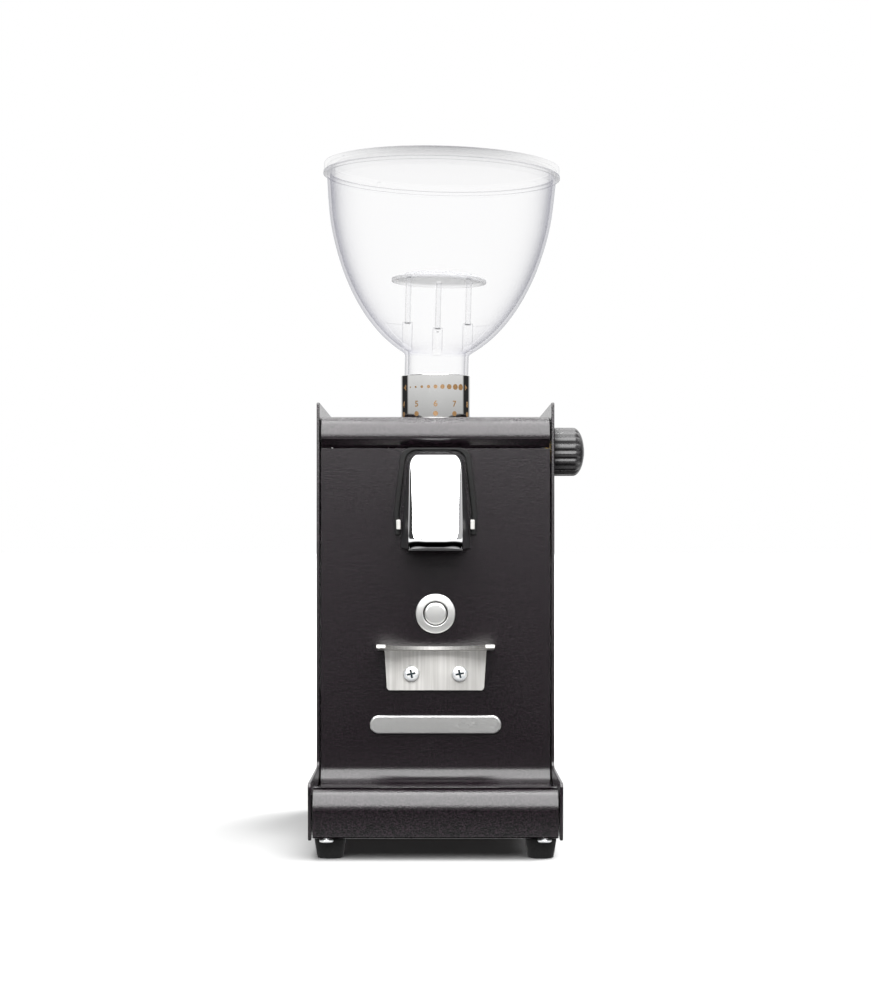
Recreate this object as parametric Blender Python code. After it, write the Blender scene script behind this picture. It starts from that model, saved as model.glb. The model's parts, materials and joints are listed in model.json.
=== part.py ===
"""Compact burr coffee grinder, built as separate pieces in metres, +Z up.

Sizes below are in millimetres about the burr axis, with the front towards -Y and the floor at z = 0.
Everything hangs on one empty that moves the middle of the footprint to the world origin.
"""
import math

import bmesh
import bpy
from mathutils import Matrix, Vector

MM = 0.001
GAP = 0.3                      # clearance kept between neighbouring pieces

# casing
BODY_HALF_W = 65.0             # outer faces of the side plates
PLATE_T = 1.6
PLATE_TOP = 239.0
BODY_BACK = 75.0
BODY_FRONT = -75.0
BASE_FRONT = -163.0
BASE_TOP = 40.0
PLATE_BOTTOM = 10.5
SHEET_T = 1.0
SHEET_HALF_W = 62.6            # bent sheets sit between the side plates
PANEL_FACE = -74.0
PANEL_TOP = 214.0
TRAY_Z = 31.5
LIP_TOP = 36.4
COVER_Z = 231.5
LIP_FRONT = -162.0
HEM_Z = 11.5

# feet and the screws beside them
FOOT_X = 54.3
FOOT_Y = (-144.9, 62.0)
FOOT_H = 10.5
BASE_SCREW_X = 55.8
BASE_SCREW_Y = (-156.6, 38.0)

# grinding gear
COLLAR_R = 20.05
COLLAR_BORE = 19.1
COLLAR_TOP = 258.7
WORM_PITCH_R = 6.0
WHEEL_TEETH = 40
GEAR_MODULE = 1.5
WHEEL_PITCH_R = GEAR_MODULE * WHEEL_TEETH / 2
AXIAL_PITCH = math.pi * GEAR_MODULE
WORM_Y = -(WHEEL_PITCH_R + WORM_PITCH_R)
WORM_Z = 213.5
BURR_R = 27.0
CHAMBER_BORE = 33.0

# hopper
SEAT_Z = 239.3                 # bottom of the hopper's neck
HOPPER_LEAN = math.radians(1.5)
NECK_R = 18.4
WALL = 1.6
RIM_Z = 375.5
LID_R = 68.1
LID_TOP = 382.0
SOCKET_R = 20.0                # circle of the three guard sockets
BOWL = ((272.8, 20.7), (276.3, 25.8), (283.2, 33.7), (294.0, 42.6), (307.6, 50.7), (325.0, 57.9),
        (347.0, 63.6), (373.5, 66.3))

# chute, seen from the side
CHUTE_HALF_W = 14.6
CHUTE_FOOT = (-113.5, 159.4)
CHUTE_SHOULDER = (-97.0, 199.0)
CHUTE_TOP = (-78.0, 212.6)

# switch, fork, badge
SWITCH_Z = 123.6
FORK_SCREW = (13.2, 90.8)
BADGE_Z = 62.9
KNOB_R = 13.6
KNOB_TIP = 83.7
GLAND = (-30.0, 36.0)          # x and z of the cord gland in the rear panel
GLAND_BACK = 87.0

OFFSET = (-(KNOB_TIP - BODY_HALF_W) / 2, -(GLAND_BACK + BASE_FRONT) / 2, 0.0)


def clear_scene():
    for obj in list(bpy.data.objects):
        bpy.data.objects.remove(obj, do_unlink=True)


def material(name, color, roughness, metallic=0.0):
    mat = bpy.data.materials.get(name) or bpy.data.materials.new(name)
    mat.use_nodes = True
    shader = mat.node_tree.nodes["Principled BSDF"]
    shader.inputs["Base Color"].default_value = (*color, 1.0)
    shader.inputs["Roughness"].default_value = roughness
    shader.inputs["Metallic"].default_value = metallic
    return mat


def powder_coat():
    return material("powder_coat", (0.03, 0.026, 0.03), 0.45)


def brushed_steel():
    return material("brushed_steel", (0.6, 0.6, 0.58), 0.35, 1.0)


def zinc():
    return material("zinc", (0.7, 0.72, 0.72), 0.3, 1.0)


def chrome():
    return material("chrome", (0.85, 0.85, 0.86), 0.05, 1.0)


def black_plastic():
    return material("black_plastic", (0.025, 0.025, 0.027), 0.35)


def gloss_black():
    return material("gloss_black", (0.015, 0.014, 0.013), 0.1)


def rubber():
    return material("rubber", (0.015, 0.015, 0.015), 0.8)


def clear_plastic():
    return material("clear_plastic", (0.9, 0.92, 0.95), 0.05)


def frosted_plastic():
    return material("frosted_plastic", (0.88, 0.88, 0.9), 0.4)


def cast_aluminium():
    return material("cast_aluminium", (0.55, 0.55, 0.56), 0.5, 1.0)


def tool_steel():
    return material("tool_steel", (0.45, 0.45, 0.47), 0.3, 1.0)


def brass():
    return material("brass", (0.75, 0.55, 0.25), 0.3, 1.0)


def copper():
    return material("copper", (0.72, 0.35, 0.2), 0.35, 1.0)


def pale_plastic():
    return material("pale_plastic", (0.75, 0.74, 0.7), 0.5)


# ---------------------------------------------------------------- outlines

def arc(center, radius, start, end, steps):
    """Points on a circle from start to end, in degrees, both ends included."""
    points = []
    for i in range(steps + 1):
        angle = math.radians(start + (end - start) * i / steps)
        points.append((center[0] + radius * math.cos(angle), center[1] + radius * math.sin(angle)))
    return points


def fillet(points, radii, steps=4, closed=False):
    """Round the corners of a polyline: one radius for each point, 0 keeps the corner sharp."""
    count = len(points)
    result = []
    for i, (point, radius) in enumerate(zip(points, radii)):
        inner = closed or 0 < i < count - 1
        if not inner or radius <= 0:
            result.append(tuple(point))
            continue
        here = Vector(point)
        before = (Vector(points[i - 1]) - here).normalized()
        after = (Vector(points[(i + 1) % count]) - here).normalized()
        half = before.angle(after) / 2
        reach = radius / math.tan(half)
        center = here + (before + after).normalized() * radius / math.sin(half)
        first = here + before * reach - center
        last = here + after * reach - center
        sweep = first.angle_signed(last)
        for k in range(steps + 1):
            turned_by = Matrix.Rotation(-sweep * k / steps, 2)
            result.append(tuple(center + turned_by @ first))
    return result


def strip(path, thickness):
    """Closed outline of a sheet of this thickness whose first face follows the path (to its left)."""
    other = []
    for i, point in enumerate(path):
        here = Vector(point)
        into = (here - Vector(path[i - 1])).normalized() if i else None
        out = (Vector(path[i + 1]) - here).normalized() if i < len(path) - 1 else None
        into = into or out
        out = out or into
        normal = (Vector((-into.y, into.x)) + Vector((-out.y, out.x))).normalized()
        stretch = 1 / max(0.3, normal.dot(Vector((-out.y, out.x))))
        other.append(tuple(here + normal * thickness * stretch))
    return list(path) + other[::-1]


def circle(radius, steps, center=(0.0, 0.0)):
    return arc(center, radius, 0, 360 * (steps - 1) / steps, steps - 1)


def box_outline(low, high):
    return [(low[0], low[1]), (high[0], low[1]), (high[0], high[1]), (low[0], high[1])]


# ---------------------------------------------------------------- solids

def mesh_object(name, points, faces, mat, smooth_angle=35, closed=True):
    """An object from millimetre points; a closed one gets its faces turned outwards."""
    mesh = bpy.data.meshes.new(name)
    mesh.from_pydata([Vector(p) * MM for p in points], [], faces)
    if closed:
        work = bmesh.new()
        work.from_mesh(mesh)
        bmesh.ops.recalc_face_normals(work, faces=work.faces)
        work.to_mesh(mesh)
        work.free()
    mesh.materials.append(mat)
    mesh.shade_smooth()
    mesh.set_sharp_from_angle(angle=math.radians(smooth_angle))
    obj = bpy.data.objects.new(name, mesh)
    bpy.context.collection.objects.link(obj)
    obj.parent = ORIGIN
    return obj


def place_2d(axis, pair, along):
    """A point of an outline drawn across an axis: X takes (y, z), Y takes (x, z), Z takes (x, y)."""
    if axis == "X":
        return (along, pair[0], pair[1])
    if axis == "Y":
        return (pair[0], along, pair[1])
    return (pair[0], pair[1], along)


def prism(name, outline, axis, low, high, mat, smooth_angle=35):
    count = len(outline)
    points = [place_2d(axis, p, low) for p in outline] + [place_2d(axis, p, high) for p in outline]
    faces = [tuple(range(count)), tuple(range(2 * count - 1, count - 1, -1))]
    for i in range(count):
        j = (i + 1) % count
        faces.append((i, j, count + j, count + i))
    return mesh_object(name, points, faces, mat, smooth_angle)


def box(name, low, high, mat):
    outline = box_outline(low[:2], high[:2])
    return prism(name, outline, "Z", low[2], high[2], mat)


def loft(name, sections, mat, smooth_angle=35):
    """Closed sections with the same number of points, joined in order and capped at both ends."""
    count = len(sections[0])
    points = [p for section in sections for p in section]
    faces = [tuple(range(count))]
    for s in range(len(sections) - 1):
        for i in range(count):
            j = (i + 1) % count
            faces.append((s * count + i, s * count + j, (s + 1) * count + j, (s + 1) * count + i))
    faces.append(tuple(range(len(points) - 1, len(points) - 1 - count, -1)))
    return mesh_object(name, points, faces, mat, smooth_angle)


def turned(name, profile, mat, segments=32, axis="Z", center=(0, 0, 0), shape=None, smooth_angle=35):
    """Turn a profile of (radius, height) about an axis.

    A profile that starts and ends at radius 0 makes a solid; any other is closed into a ring.
    shape(radius, angle, height) may change the radius, for flutes.
    """
    ring = profile[0][0] > 0 or profile[-1][0] > 0
    points = []
    rows = []
    for radius, height in profile:
        row = []
        for i in range(segments if radius > 0 else 1):
            angle = math.tau * i / segments
            r = shape(radius, angle, height) if shape else radius
            a = r * math.cos(angle)
            b = r * math.sin(angle)
            local = {"Z": (a, b, height), "Y": (a, height, b), "X": (height, a, b)}[axis]
            row.append(len(points))
            points.append(tuple(c + p for c, p in zip(center, local)))
        rows.append(row)
    pairs = list(zip(rows, rows[1:])) + ([(rows[-1], rows[0])] if ring else [])
    faces = []
    for one, two in pairs:
        for i in range(segments):
            quad = (one[i % len(one)], one[(i + 1) % len(one)], two[(i + 1) % len(two)], two[i % len(two)])
            corners = tuple(dict.fromkeys(quad))
            if len(corners) > 2:
                faces.append(corners)
    return mesh_object(name, points, faces, mat, smooth_angle)


def tube_profile(inner, outer, low, high):
    return [(outer, high), (outer, low), (inner, low), (inner, high)]


def cutter(obj):
    obj.hide_render = True
    obj.display_type = "WIRE"
    return obj


def boolean(obj, tool, operation="DIFFERENCE"):
    modifier = obj.modifiers.new(tool.name, "BOOLEAN")
    modifier.operation = operation
    modifier.object = cutter(tool)
    return obj


def drill(obj, axis, center, radius, low, high, segments=20):
    """Cut a round hole along an axis; center is the outline's pair of coordinates."""
    name = f"drill_{obj.name}_{len(obj.modifiers)}"
    hole = prism(name, circle(radius, segments, center), axis, low, high, black_plastic())
    return boolean(obj, hole)


# ---------------------------------------------------------------- casing

def side_plate(name, side):
    low = min(side * BODY_HALF_W, side * (BODY_HALF_W - PLATE_T))
    corners = [(BODY_BACK, PLATE_BOTTOM), (BODY_BACK, PLATE_TOP), (BODY_FRONT, PLATE_TOP),
               (BODY_FRONT, BASE_TOP), (BASE_FRONT, BASE_TOP), (BASE_FRONT + 2.0, PLATE_BOTTOM)]
    outline = fillet(corners, (0, 3, 1.5, 3, 2.5, 1), closed=True)
    plate = prism(name, outline, "X", low, low + PLATE_T, powder_coat())
    if side > 0:
        drill(plate, "X", (WORM_Y, WORM_Z), 4.5, low - 2, low + PLATE_T + 2)
    return plate


def front_panel():
    """Upright face, fillet, tray, rolled lip, lip face and hem, bent from one sheet."""
    outside = [(PANEL_FACE, PANEL_TOP), (PANEL_FACE, TRAY_Z), (LIP_FRONT + 16, TRAY_Z),
               (LIP_FRONT + 11, LIP_TOP), (LIP_FRONT, LIP_TOP),
               (LIP_FRONT + 1.4, HEM_Z), (LIP_FRONT + 14, HEM_Z)]
    path = fillet(outside, (0, 13, 3, 3, 8.5, 1.2, 0), steps=4)
    panel = prism("front_panel", strip(path, SHEET_T), "X", -SHEET_HALF_W, SHEET_HALF_W, powder_coat())
    drill(panel, "Y", (0, SWITCH_Z), 9.5, PANEL_FACE - 3, PANEL_FACE + 5, 28)
    for side in (-1, 1):
        drill(panel, "Y", (side * FORK_SCREW[0], FORK_SCREW[1]), 2.3, PANEL_FACE - 3, PANEL_FACE + 5, 16)
        drill(panel, "Z", (side * BASE_SCREW_X, BASE_SCREW_Y[0]), 2.1, HEM_Z - 3, HEM_Z + 4, 16)
    window = box("chute_window", (-14.3, PANEL_FACE - 3, 170.7), (14.3, PANEL_FACE + 4, 198.3),
                 black_plastic())
    return boolean(panel, window)


def top_cover():
    """Rounded nose over the front panel's top edge, flat top with the collar's hole, folded back edge."""
    outside = [(BODY_BACK - 2.6, COVER_Z - 12), (BODY_BACK - 2.6, COVER_Z), (-76.5, COVER_Z),
               (-76.5, COVER_Z - 12.2), (-72.3, PANEL_TOP + 0.2)]
    path = fillet(outside, (0, 3, 11, 2.5, 0), steps=6)
    cover = prism("top_cover", strip(path, SHEET_T), "X", -SHEET_HALF_W, SHEET_HALF_W, powder_coat())
    return drill(cover, "Z", (0, 0), COLLAR_R + 0.75, COVER_Z - 4, COVER_Z + 3, 40)


def rear_panel():
    """Flat sheet with a bank of vent slots and the gland's hole."""
    panel = box("rear_panel", (-SHEET_HALF_W, BODY_BACK - 2, PLATE_BOTTOM + 0.5),
                (SHEET_HALF_W, BODY_BACK - 1, COVER_Z), powder_coat())
    slots = 9
    for i in range(slots):
        z = 75 + 9 * i
        outline = fillet(box_outline((-32, z), (32, z + 3.6)), (1.7,) * 4, steps=2, closed=True)
        slot = prism(f"vent_{i}", outline, "Y", BODY_BACK - 4, BODY_BACK + 1, black_plastic())
        boolean(panel, slot)
    return drill(panel, "Y", GLAND, 6.5, BODY_BACK - 4, BODY_BACK + 1, 24)


def base_plate():
    front = LIP_FRONT + 14.5
    back = BODY_BACK - 2 - GAP
    plate = box("base_plate", (-SHEET_HALF_W, front, PLATE_BOTTOM + GAP),
                (SHEET_HALF_W, back, PLATE_BOTTOM + GAP + 1.5), powder_coat())
    for side in (-1, 1):
        drill(plate, "Z", (side * BASE_SCREW_X, BASE_SCREW_Y[1]), 2.1, 9, 14, 16)
    return plate


def foot(name, x, y):
    profile = [(0, 1.5), (4.5, 1.5), (4.5, 0), (6.2, 0), (6.75, 0.6), (8.2, FOOT_H - 0.8),
               (7.7, FOOT_H), (0, FOOT_H)]
    return turned(name, profile, rubber(), 20, center=(x, y, 0))


def pan_head_screw(name, center, axis, direction, head_r, length, segments=14):
    """Screw whose head's underside is at center and whose head stands out along the direction."""
    height = 0.62 * head_r
    dome = [(head_r * 0.96, 0.0), (head_r, height * 0.35), (head_r * 0.75, height * 0.85), (0, height)]
    profile = [(0, -length), (head_r * 0.5, -length), (head_r * 0.5, 0), *dome]
    flipped = [(r, h * direction) for r, h in profile]
    return turned(name, flipped, zinc(), segments, axis=axis, center=center)


def cord_gland():
    """Strain relief body through the rear panel, with its bore open for the cord."""
    inside = BODY_BACK - 14
    profile = [(6.2, inside), (3.6, inside), (3.6, GLAND_BACK), (5.2, GLAND_BACK), (8.2, BODY_BACK + 3.5),
               (9.5, BODY_BACK + 3), (9.5, BODY_BACK - 1 + GAP), (6.2, BODY_BACK - 1 + GAP)]
    turned("cord_gland", profile, black_plastic(), 18, axis="Y", center=(GLAND[0], 0, GLAND[1]))
    hexagon_ring("gland_nut", "Y", GLAND, 6.5, 10.5, BODY_BACK - 6, BODY_BACK - 2 - GAP, black_plastic())


def hexagon_ring(name, axis, center, bore, radius, low, high, mat):
    nut = prism(name, circle(radius, 6, center), axis, low, high, mat)
    return drill(nut, axis, center, bore, low - 2, high + 2)


# ---------------------------------------------------------------- front fittings

def chute_path():
    """Centre line of the chute's front from its foot over the shoulder to the panel."""
    foot_point = Vector(CHUTE_FOOT)
    shoulder = Vector(CHUTE_SHOULDER)
    top = Vector(CHUTE_TOP)
    knee = shoulder + (shoulder - foot_point).normalized() * 11.5
    path = [tuple(foot_point), tuple(foot_point.lerp(shoulder, 0.5))]
    steps = 8
    for i in range(steps + 1):
        t = i / steps
        point = shoulder * (1 - t) ** 2 + knee * 2 * t * (1 - t) + top * t ** 2
        path.append(tuple(point))
    return path


def inward_offset(path, distance):
    outline = strip(path, -distance)
    return outline[len(path):][::-1]


def chute_cover():
    """Bright cover: a curved sheet with turned-back edges and a rounded top."""
    path = chute_path()
    depth = 3.2
    edge_r = 2.6
    span = 5
    inward = [Vector(q) - Vector(p) for p, q in zip(path, inward_offset(path, 1.0))]
    rows = []
    for i, (point, normal) in enumerate(zip(path, inward)):
        t = max(0.0, (i - 3) / (len(path) - 4))
        half = CHUTE_HALF_W * (1 - 0.55 * t ** 5)
        flat = half - edge_r
        edge = [(-half, depth), *[(-x, edge_r - d) for x, d in arc((flat, 0), edge_r, 0, 90, 3)]]
        middle = [(-flat + 2 * flat * k / span, 0.0) for k in range(1, span)]
        row = edge + middle + [(-x, d) for x, d in edge[::-1]]
        rows.append([(x, point[0] + normal.x * d, point[1] + normal.y * d) for x, d in row])
    count = len(rows[0])
    points = [p for row in rows for p in row]
    faces = []
    for s in range(len(rows) - 1):
        for i in range(count - 1):
            faces.append((s * count + i, s * count + i + 1, (s + 1) * count + i + 1, (s + 1) * count + i))
    cover = mesh_object("chute_cover", points, faces, chrome(), closed=False)
    modifier = cover.modifiers.new("thickness", "SOLIDIFY")
    modifier.thickness = 0.9 * MM
    modifier.offset = -1
    modifier.use_even_offset = True
    return cover


def chute_arch(y, half_bottom, half_top, bottom, top, corner):
    """Arch section parallel to the front panel."""
    outline = [(-half_bottom, bottom), (half_bottom, bottom), (half_top, top), (-half_top, top)]
    rounded = fillet(outline, (0.5, 0.5, corner, corner), steps=5, closed=True)
    return [(x, y, z) for x, z in rounded]


def chute_body():
    """Black chute: flared arch on the panel, core under the bright cover, duct back to the burrs."""
    under = inward_offset(chute_path(), 4.6)
    slope = [p for p in under if p[0] < -80]
    start = PANEL_FACE - GAP
    sections = []
    stations = [(start, 211.4), *[(y, z) for y, z in reversed(slope)]]
    tip = stations[-1][0]
    for y, z in stations:
        t = (start - y) / (start - tip)
        half_bottom = CHUTE_HALF_W - 0.4 + 4.9 * (1 - t) ** 2.2
        half_top = CHUTE_HALF_W - 0.6 + 0.9 * (1 - t) ** 2
        bottom = 158.2 + 8 * (1 - t) ** 0.8
        top = max(z, bottom + 2.5)
        corner = 1.0 + 6.5 * (1 - t)
        sections.append(chute_arch(y, half_bottom, half_top, bottom, top, min(corner, (top - bottom) * 0.4)))
    body = loft("chute_body", sections, black_plastic())
    spine = [tuple(Vector(CHUTE_FOOT).lerp(Vector(CHUTE_SHOULDER), 0.09)), *chute_path()[1:8]]
    core = strip(inward_offset(spine, 1.25), -6.0)
    boolean(body, prism("chute_core", core, "X", -12.5, 12.5, black_plastic()), "UNION")
    duct = box("chute_duct", (-14, WORM_Y - 1.0 - GAP, 171), (14, start - 3 - GAP, 198), black_plastic())
    boolean(body, duct, "UNION")
    bore_points = [(WORM_Y + 5, 173), (-90, 173), (-92, 150), (-106.5, 150), (-106.5, 163),
                   (-92, 196), (WORM_Y + 5, 196)]
    boolean(body, prism("chute_bore", bore_points, "X", -11.6, 11.6, black_plastic()))
    return body


def chute_surround():
    """Black gasket band around the arch, flat on the panel."""
    def arch(grow):
        return fillet([(-18.9 - grow, 166.5), (-19.6 - grow, 178), (-15.6 - grow, 212.6 + grow * 0.5),
                       (15.6 + grow, 212.6 + grow * 0.5), (19.6 + grow, 178), (18.9 + grow, 166.5)],
                      (0, 8, 6.5, 6.5, 8, 0), steps=5)
    outline = arch(2.2) + arch(0.3)[::-1]
    return prism("chute_surround", outline, "Y", PANEL_FACE - GAP - 2.4, PANEL_FACE - GAP, black_plastic())


def chute_clip(name, side):
    """Small bright tab that holds the chute at the foot of the surround."""
    low = side * 20.2 - 1.2
    outline = fillet([(low, 169.6), (low + 2.4, 169.6), (low + 2.4, 174.8), (low, 174.8)],
                     (0.4,) * 4, steps=2, closed=True)
    front = PANEL_FACE - GAP * 2 - 2.4
    return prism(name, outline, "Y", front - 0.8, front, brushed_steel())


def portafilter_fork():
    """Bent plate: upright screwed to the panel, shelf above it with a round bite between two prongs."""
    back = PANEL_FACE - GAP
    path = fillet([(back, 81.7), (back, 105.0), (back - 34, 108.0)], (0, 2.2, 0), steps=4)
    fork = prism("portafilter_fork", strip(path, 1.8), "X", -31.5, 31.5, brushed_steel())
    bite = prism("fork_bite", circle(27, 40, (0, back - 38.5)), "Z", 98, 115, black_plastic())
    boolean(fork, bite)
    for side in (-1, 1):
        wedge = [(side * 26.5, 80), (side * 27.75, 102.4), (side * 27.75, 104.4), (side * 40, 104.4),
                 (side * 40, 80)]
        boolean(fork, prism(f"fork_side_{side}", wedge, "Y", back - 6, back + 3, black_plastic()))
        drill(fork, "Y", (side * FORK_SCREW[0], FORK_SCREW[1]), 2.3, back - 5, back + 3, 16)
    return fork


def badge():
    """Plain bright bar with round ends."""
    half = 31.0
    radius = 5.0
    outline = arc((half, BADGE_Z), radius, -90, 90, 10) + arc((-half, BADGE_Z), radius, 90, 270, 10)
    back = PANEL_FACE - GAP
    return prism("badge", outline, "Y", back - 1.8, back, chrome())


def push_switch():
    """Round sprung push button with its bezel, nut and switch body."""
    face = PANEL_FACE - GAP
    center = (0, 0, SWITCH_Z)
    bezel = [(9.2, face + 16), (9.2, face), (10.9, face), (10.9, face - 1.4), (9.6, face - 2.9),
             (7.6, face - 3.1), (6.6, face - 2.2), (6.6, face + 16)]
    turned("switch_bezel", bezel, chrome(), 24, axis="Y", center=center)
    cap = [(0, face - 4.0), (3.5, face - 3.8), (5.6, face - 3.2), (6.2, face - 2.4), (6.2, face + 3),
           (3.0, face + 3.4), (3.0, face + 12), (0, face + 12)]
    turned("push_button", cap, brushed_steel(), 24, axis="Y", center=center)
    nut_low = PANEL_FACE + SHEET_T + GAP
    hexagon_ring("switch_nut", "Y", (0, SWITCH_Z), 9.5, 12.6, nut_low, nut_low + 3.5, zinc())
    body = fillet(box_outline((-9, SWITCH_Z - 9), (9, SWITCH_Z + 9)), (2.5,) * 4, steps=3, closed=True)
    prism("switch_body", body, "Y", face + 16 + GAP, face + 27, black_plastic())


# ---------------------------------------------------------------- grinding gear

def grinding_chamber():
    """Cast cup around the burrs with an outlet to the front and a boss for the worm's bracket."""
    profile = [(36, 204), (36, 168), (6, 168), (6, 173), (CHAMBER_BORE, 173), (CHAMBER_BORE, 204)]
    chamber = turned("grinding_chamber", profile, cast_aluminium(), 36)
    boss = box("bracket_boss", (-21.5, -47, 199.2), (21.5, -34.2, 203.9), cast_aluminium())
    boolean(chamber, boss, "UNION")
    outlet = box("outlet", (-11, -40, 176), (11, -25, 193), black_plastic())
    return boolean(chamber, outlet)


def burr(name, inner, back, face, up):
    """Ring burr whose cutting face is sawn into slanted teeth; up tells which way it faces."""
    teeth = 16
    per_tooth = 2
    segments = teeth * per_tooth
    rise = (0.0, 1.1)
    points = []
    for i in range(segments):
        lead = -0.12 * up
        tooth = rise[i % per_tooth] * up
        angle = math.tau * i / segments
        for radius, height, turn in ((BURR_R, back, 0), (BURR_R, face - tooth, 0),
                                     (inner + 5, face - tooth * 1.3, lead),
                                     (inner, face - 2.2 * up, lead * 1.4), (inner, back, 0)):
            points.append((radius * math.cos(angle + turn), radius * math.sin(angle + turn), height))
    rows = 5
    faces = []
    for i in range(segments):
        j = (i + 1) % segments
        for k in range(rows):
            m = (k + 1) % rows
            faces.append((i * rows + k, j * rows + k, j * rows + m, i * rows + m))
    return mesh_object(name, points, faces, tool_steel(), 20)


def lower_burr_carrier():
    """Driven disc with a hub for the shaft and two sweepers that push the grounds to the outlet."""
    profile = [(30, 183), (30, 176.5), (9, 176.5), (9, 174), (4.3, 174), (4.3, 183)]
    carrier = turned("lower_burr_carrier", profile, cast_aluminium(), 28)
    sweepers = box("sweepers", (-32.3, -2.2, 174.6), (32.3, 2.2, 180.2), cast_aluminium())
    boolean(carrier, sweepers, "UNION")
    return drill(carrier, "Z", (0, 0), 4.3, 170, 186, 24)


def upper_burr_carrier():
    """Threaded disc that holds the upper burr, with the throat tube the hopper stands on."""
    outer = CHAMBER_BORE - 0.4
    profile = [(18.5, 238.3), (18.5, 202.5), (outer, 202.5), (outer, 198), (15.5, 198), (15.5, 238.3)]
    return turned("upper_burr_carrier", profile, brass(), 36)


def adjusting_ring():
    """Numbered collar and the worm wheel under the cover, one moulding."""
    rows = [(COLLAR_BORE, 204.4), (26, 204.4), (26, 206.4), (26, 220.4), (COLLAR_R + 1.4, 221.6),
            (COLLAR_R, 223.4), (COLLAR_R, COLLAR_TOP - 0.6), (COLLAR_R - 0.3, COLLAR_TOP),
            (COLLAR_BORE, COLLAR_TOP)]
    ring = turned("adjusting_ring", rows, gloss_black(), 36)
    return boolean(ring, worm_wheel(), "UNION")


def worm_wheel():
    """Toothed rim, with its teeth skewed to match the worm's thread."""
    low, high = 208.0, 219.0
    lead_angle = math.atan(AXIAL_PITCH / (math.tau * WORM_PITCH_R))
    skew = math.tan(lead_angle) / WHEEL_PITCH_R
    tooth = ((-0.3, 28.4), (-0.13, 31.0), (0.13, 31.0), (0.3, 28.4))
    sections = []
    for z in (low, high):
        turn = skew * (z - WORM_Z)
        outer = []
        for k in range(WHEEL_TEETH):
            for part, radius in tooth:
                angle = math.tau * (k + part) / WHEEL_TEETH + turn - math.pi / 2
                outer.append((radius * math.cos(angle), radius * math.sin(angle), z))
        sections.append(outer)
    wheel = loft("worm_wheel", sections, black_plastic())
    return drill(wheel, "Z", (0, 0), 24.0, low - 3, high + 3, 40)


def worm():
    """Single-start worm: a cylinder whose radius follows the thread."""
    half = 11.8
    per_pitch = 6
    around = 16
    steps = int(2 * half / AXIAL_PITCH * per_pitch)
    root, tip = 4.7, 7.0

    def thread_radius(x, angle):
        # half a pitch of lead puts a groove over the wheel's middle tooth
        phase = (x / AXIAL_PITCH - angle / math.tau + 0.5) % 1.0
        away = abs(phase - 0.5) / 0.5
        if away > 0.72:
            return tip
        if away < 0.45:
            return root
        return root + (tip - root) * (away - 0.45) / 0.27

    bore = 3.3
    points = []
    for s in range(steps + 1):
        x = -half + 2 * half * s / steps
        for i in range(around):
            # angle is counted from the wheel's side (+Y), turning towards +Z
            angle = math.tau * i / around
            radius = root if s in (0, steps) else thread_radius(x, angle)
            points.append((x, WORM_Y + radius * math.cos(angle), WORM_Z + radius * math.sin(angle)))
    for x in (half, -half):
        for i in range(around):
            angle = math.tau * i / around
            points.append((x, WORM_Y + bore * math.cos(angle), WORM_Z + bore * math.sin(angle)))
    rows = steps + 3
    faces = []
    for s in range(rows):
        for i in range(around):
            j = (i + 1) % around
            n = (s + 1) % rows
            faces.append((s * around + i, s * around + j, n * around + j, n * around + i))
    return mesh_object("worm", points, faces, brass())


def worm_drive():
    worm()
    shaft = [(0, -22.5), (3.0, -22.5), (3.0, 75.0), (0, 75.0)]
    turned("worm_shaft", shaft, tool_steel(), 20, axis="X", center=(0, WORM_Y, WORM_Z))
    flutes = 18

    def fluted(radius, angle, height):
        if radius < 12 or height > 80:
            return radius
        return radius - 0.75 * (0.5 + 0.5 * math.cos(flutes * angle)) ** 3

    knob = [(0, 75.4), (3.3, 75.4), (3.3, 65.8), (12.6, 65.8), (KNOB_R, 66.8), (KNOB_R, 78.0),
            (12.7, 79.6), (9.6, 82.2), (5.0, 83.4), (0, KNOB_TIP)]
    turned("adjusting_knob", knob, black_plastic(), flutes * 3, axis="X",
           center=(0, WORM_Y, WORM_Z), shape=fluted)
    bush = [(3.3, 67.0 - 2.3), (4.2, 67.0 - 2.3), (4.2, 63.0), (6.5, 63.0), (6.5, 61.4), (3.3, 61.4)]
    turned("shaft_bush", bush, brass(), 20, axis="X", center=(0, WORM_Y, WORM_Z))
    path = [(-19.8, 221), (-19.8, 204.3), (19.8, 204.3), (19.8, 221)]
    bracket = prism("worm_bracket", strip(path, 1.4), "Y", -46, -31.5, brushed_steel())
    drill(bracket, "X", (WORM_Y, WORM_Z), 3.3, -25, 25)
    return bracket


# ---------------------------------------------------------------- motor

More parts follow.
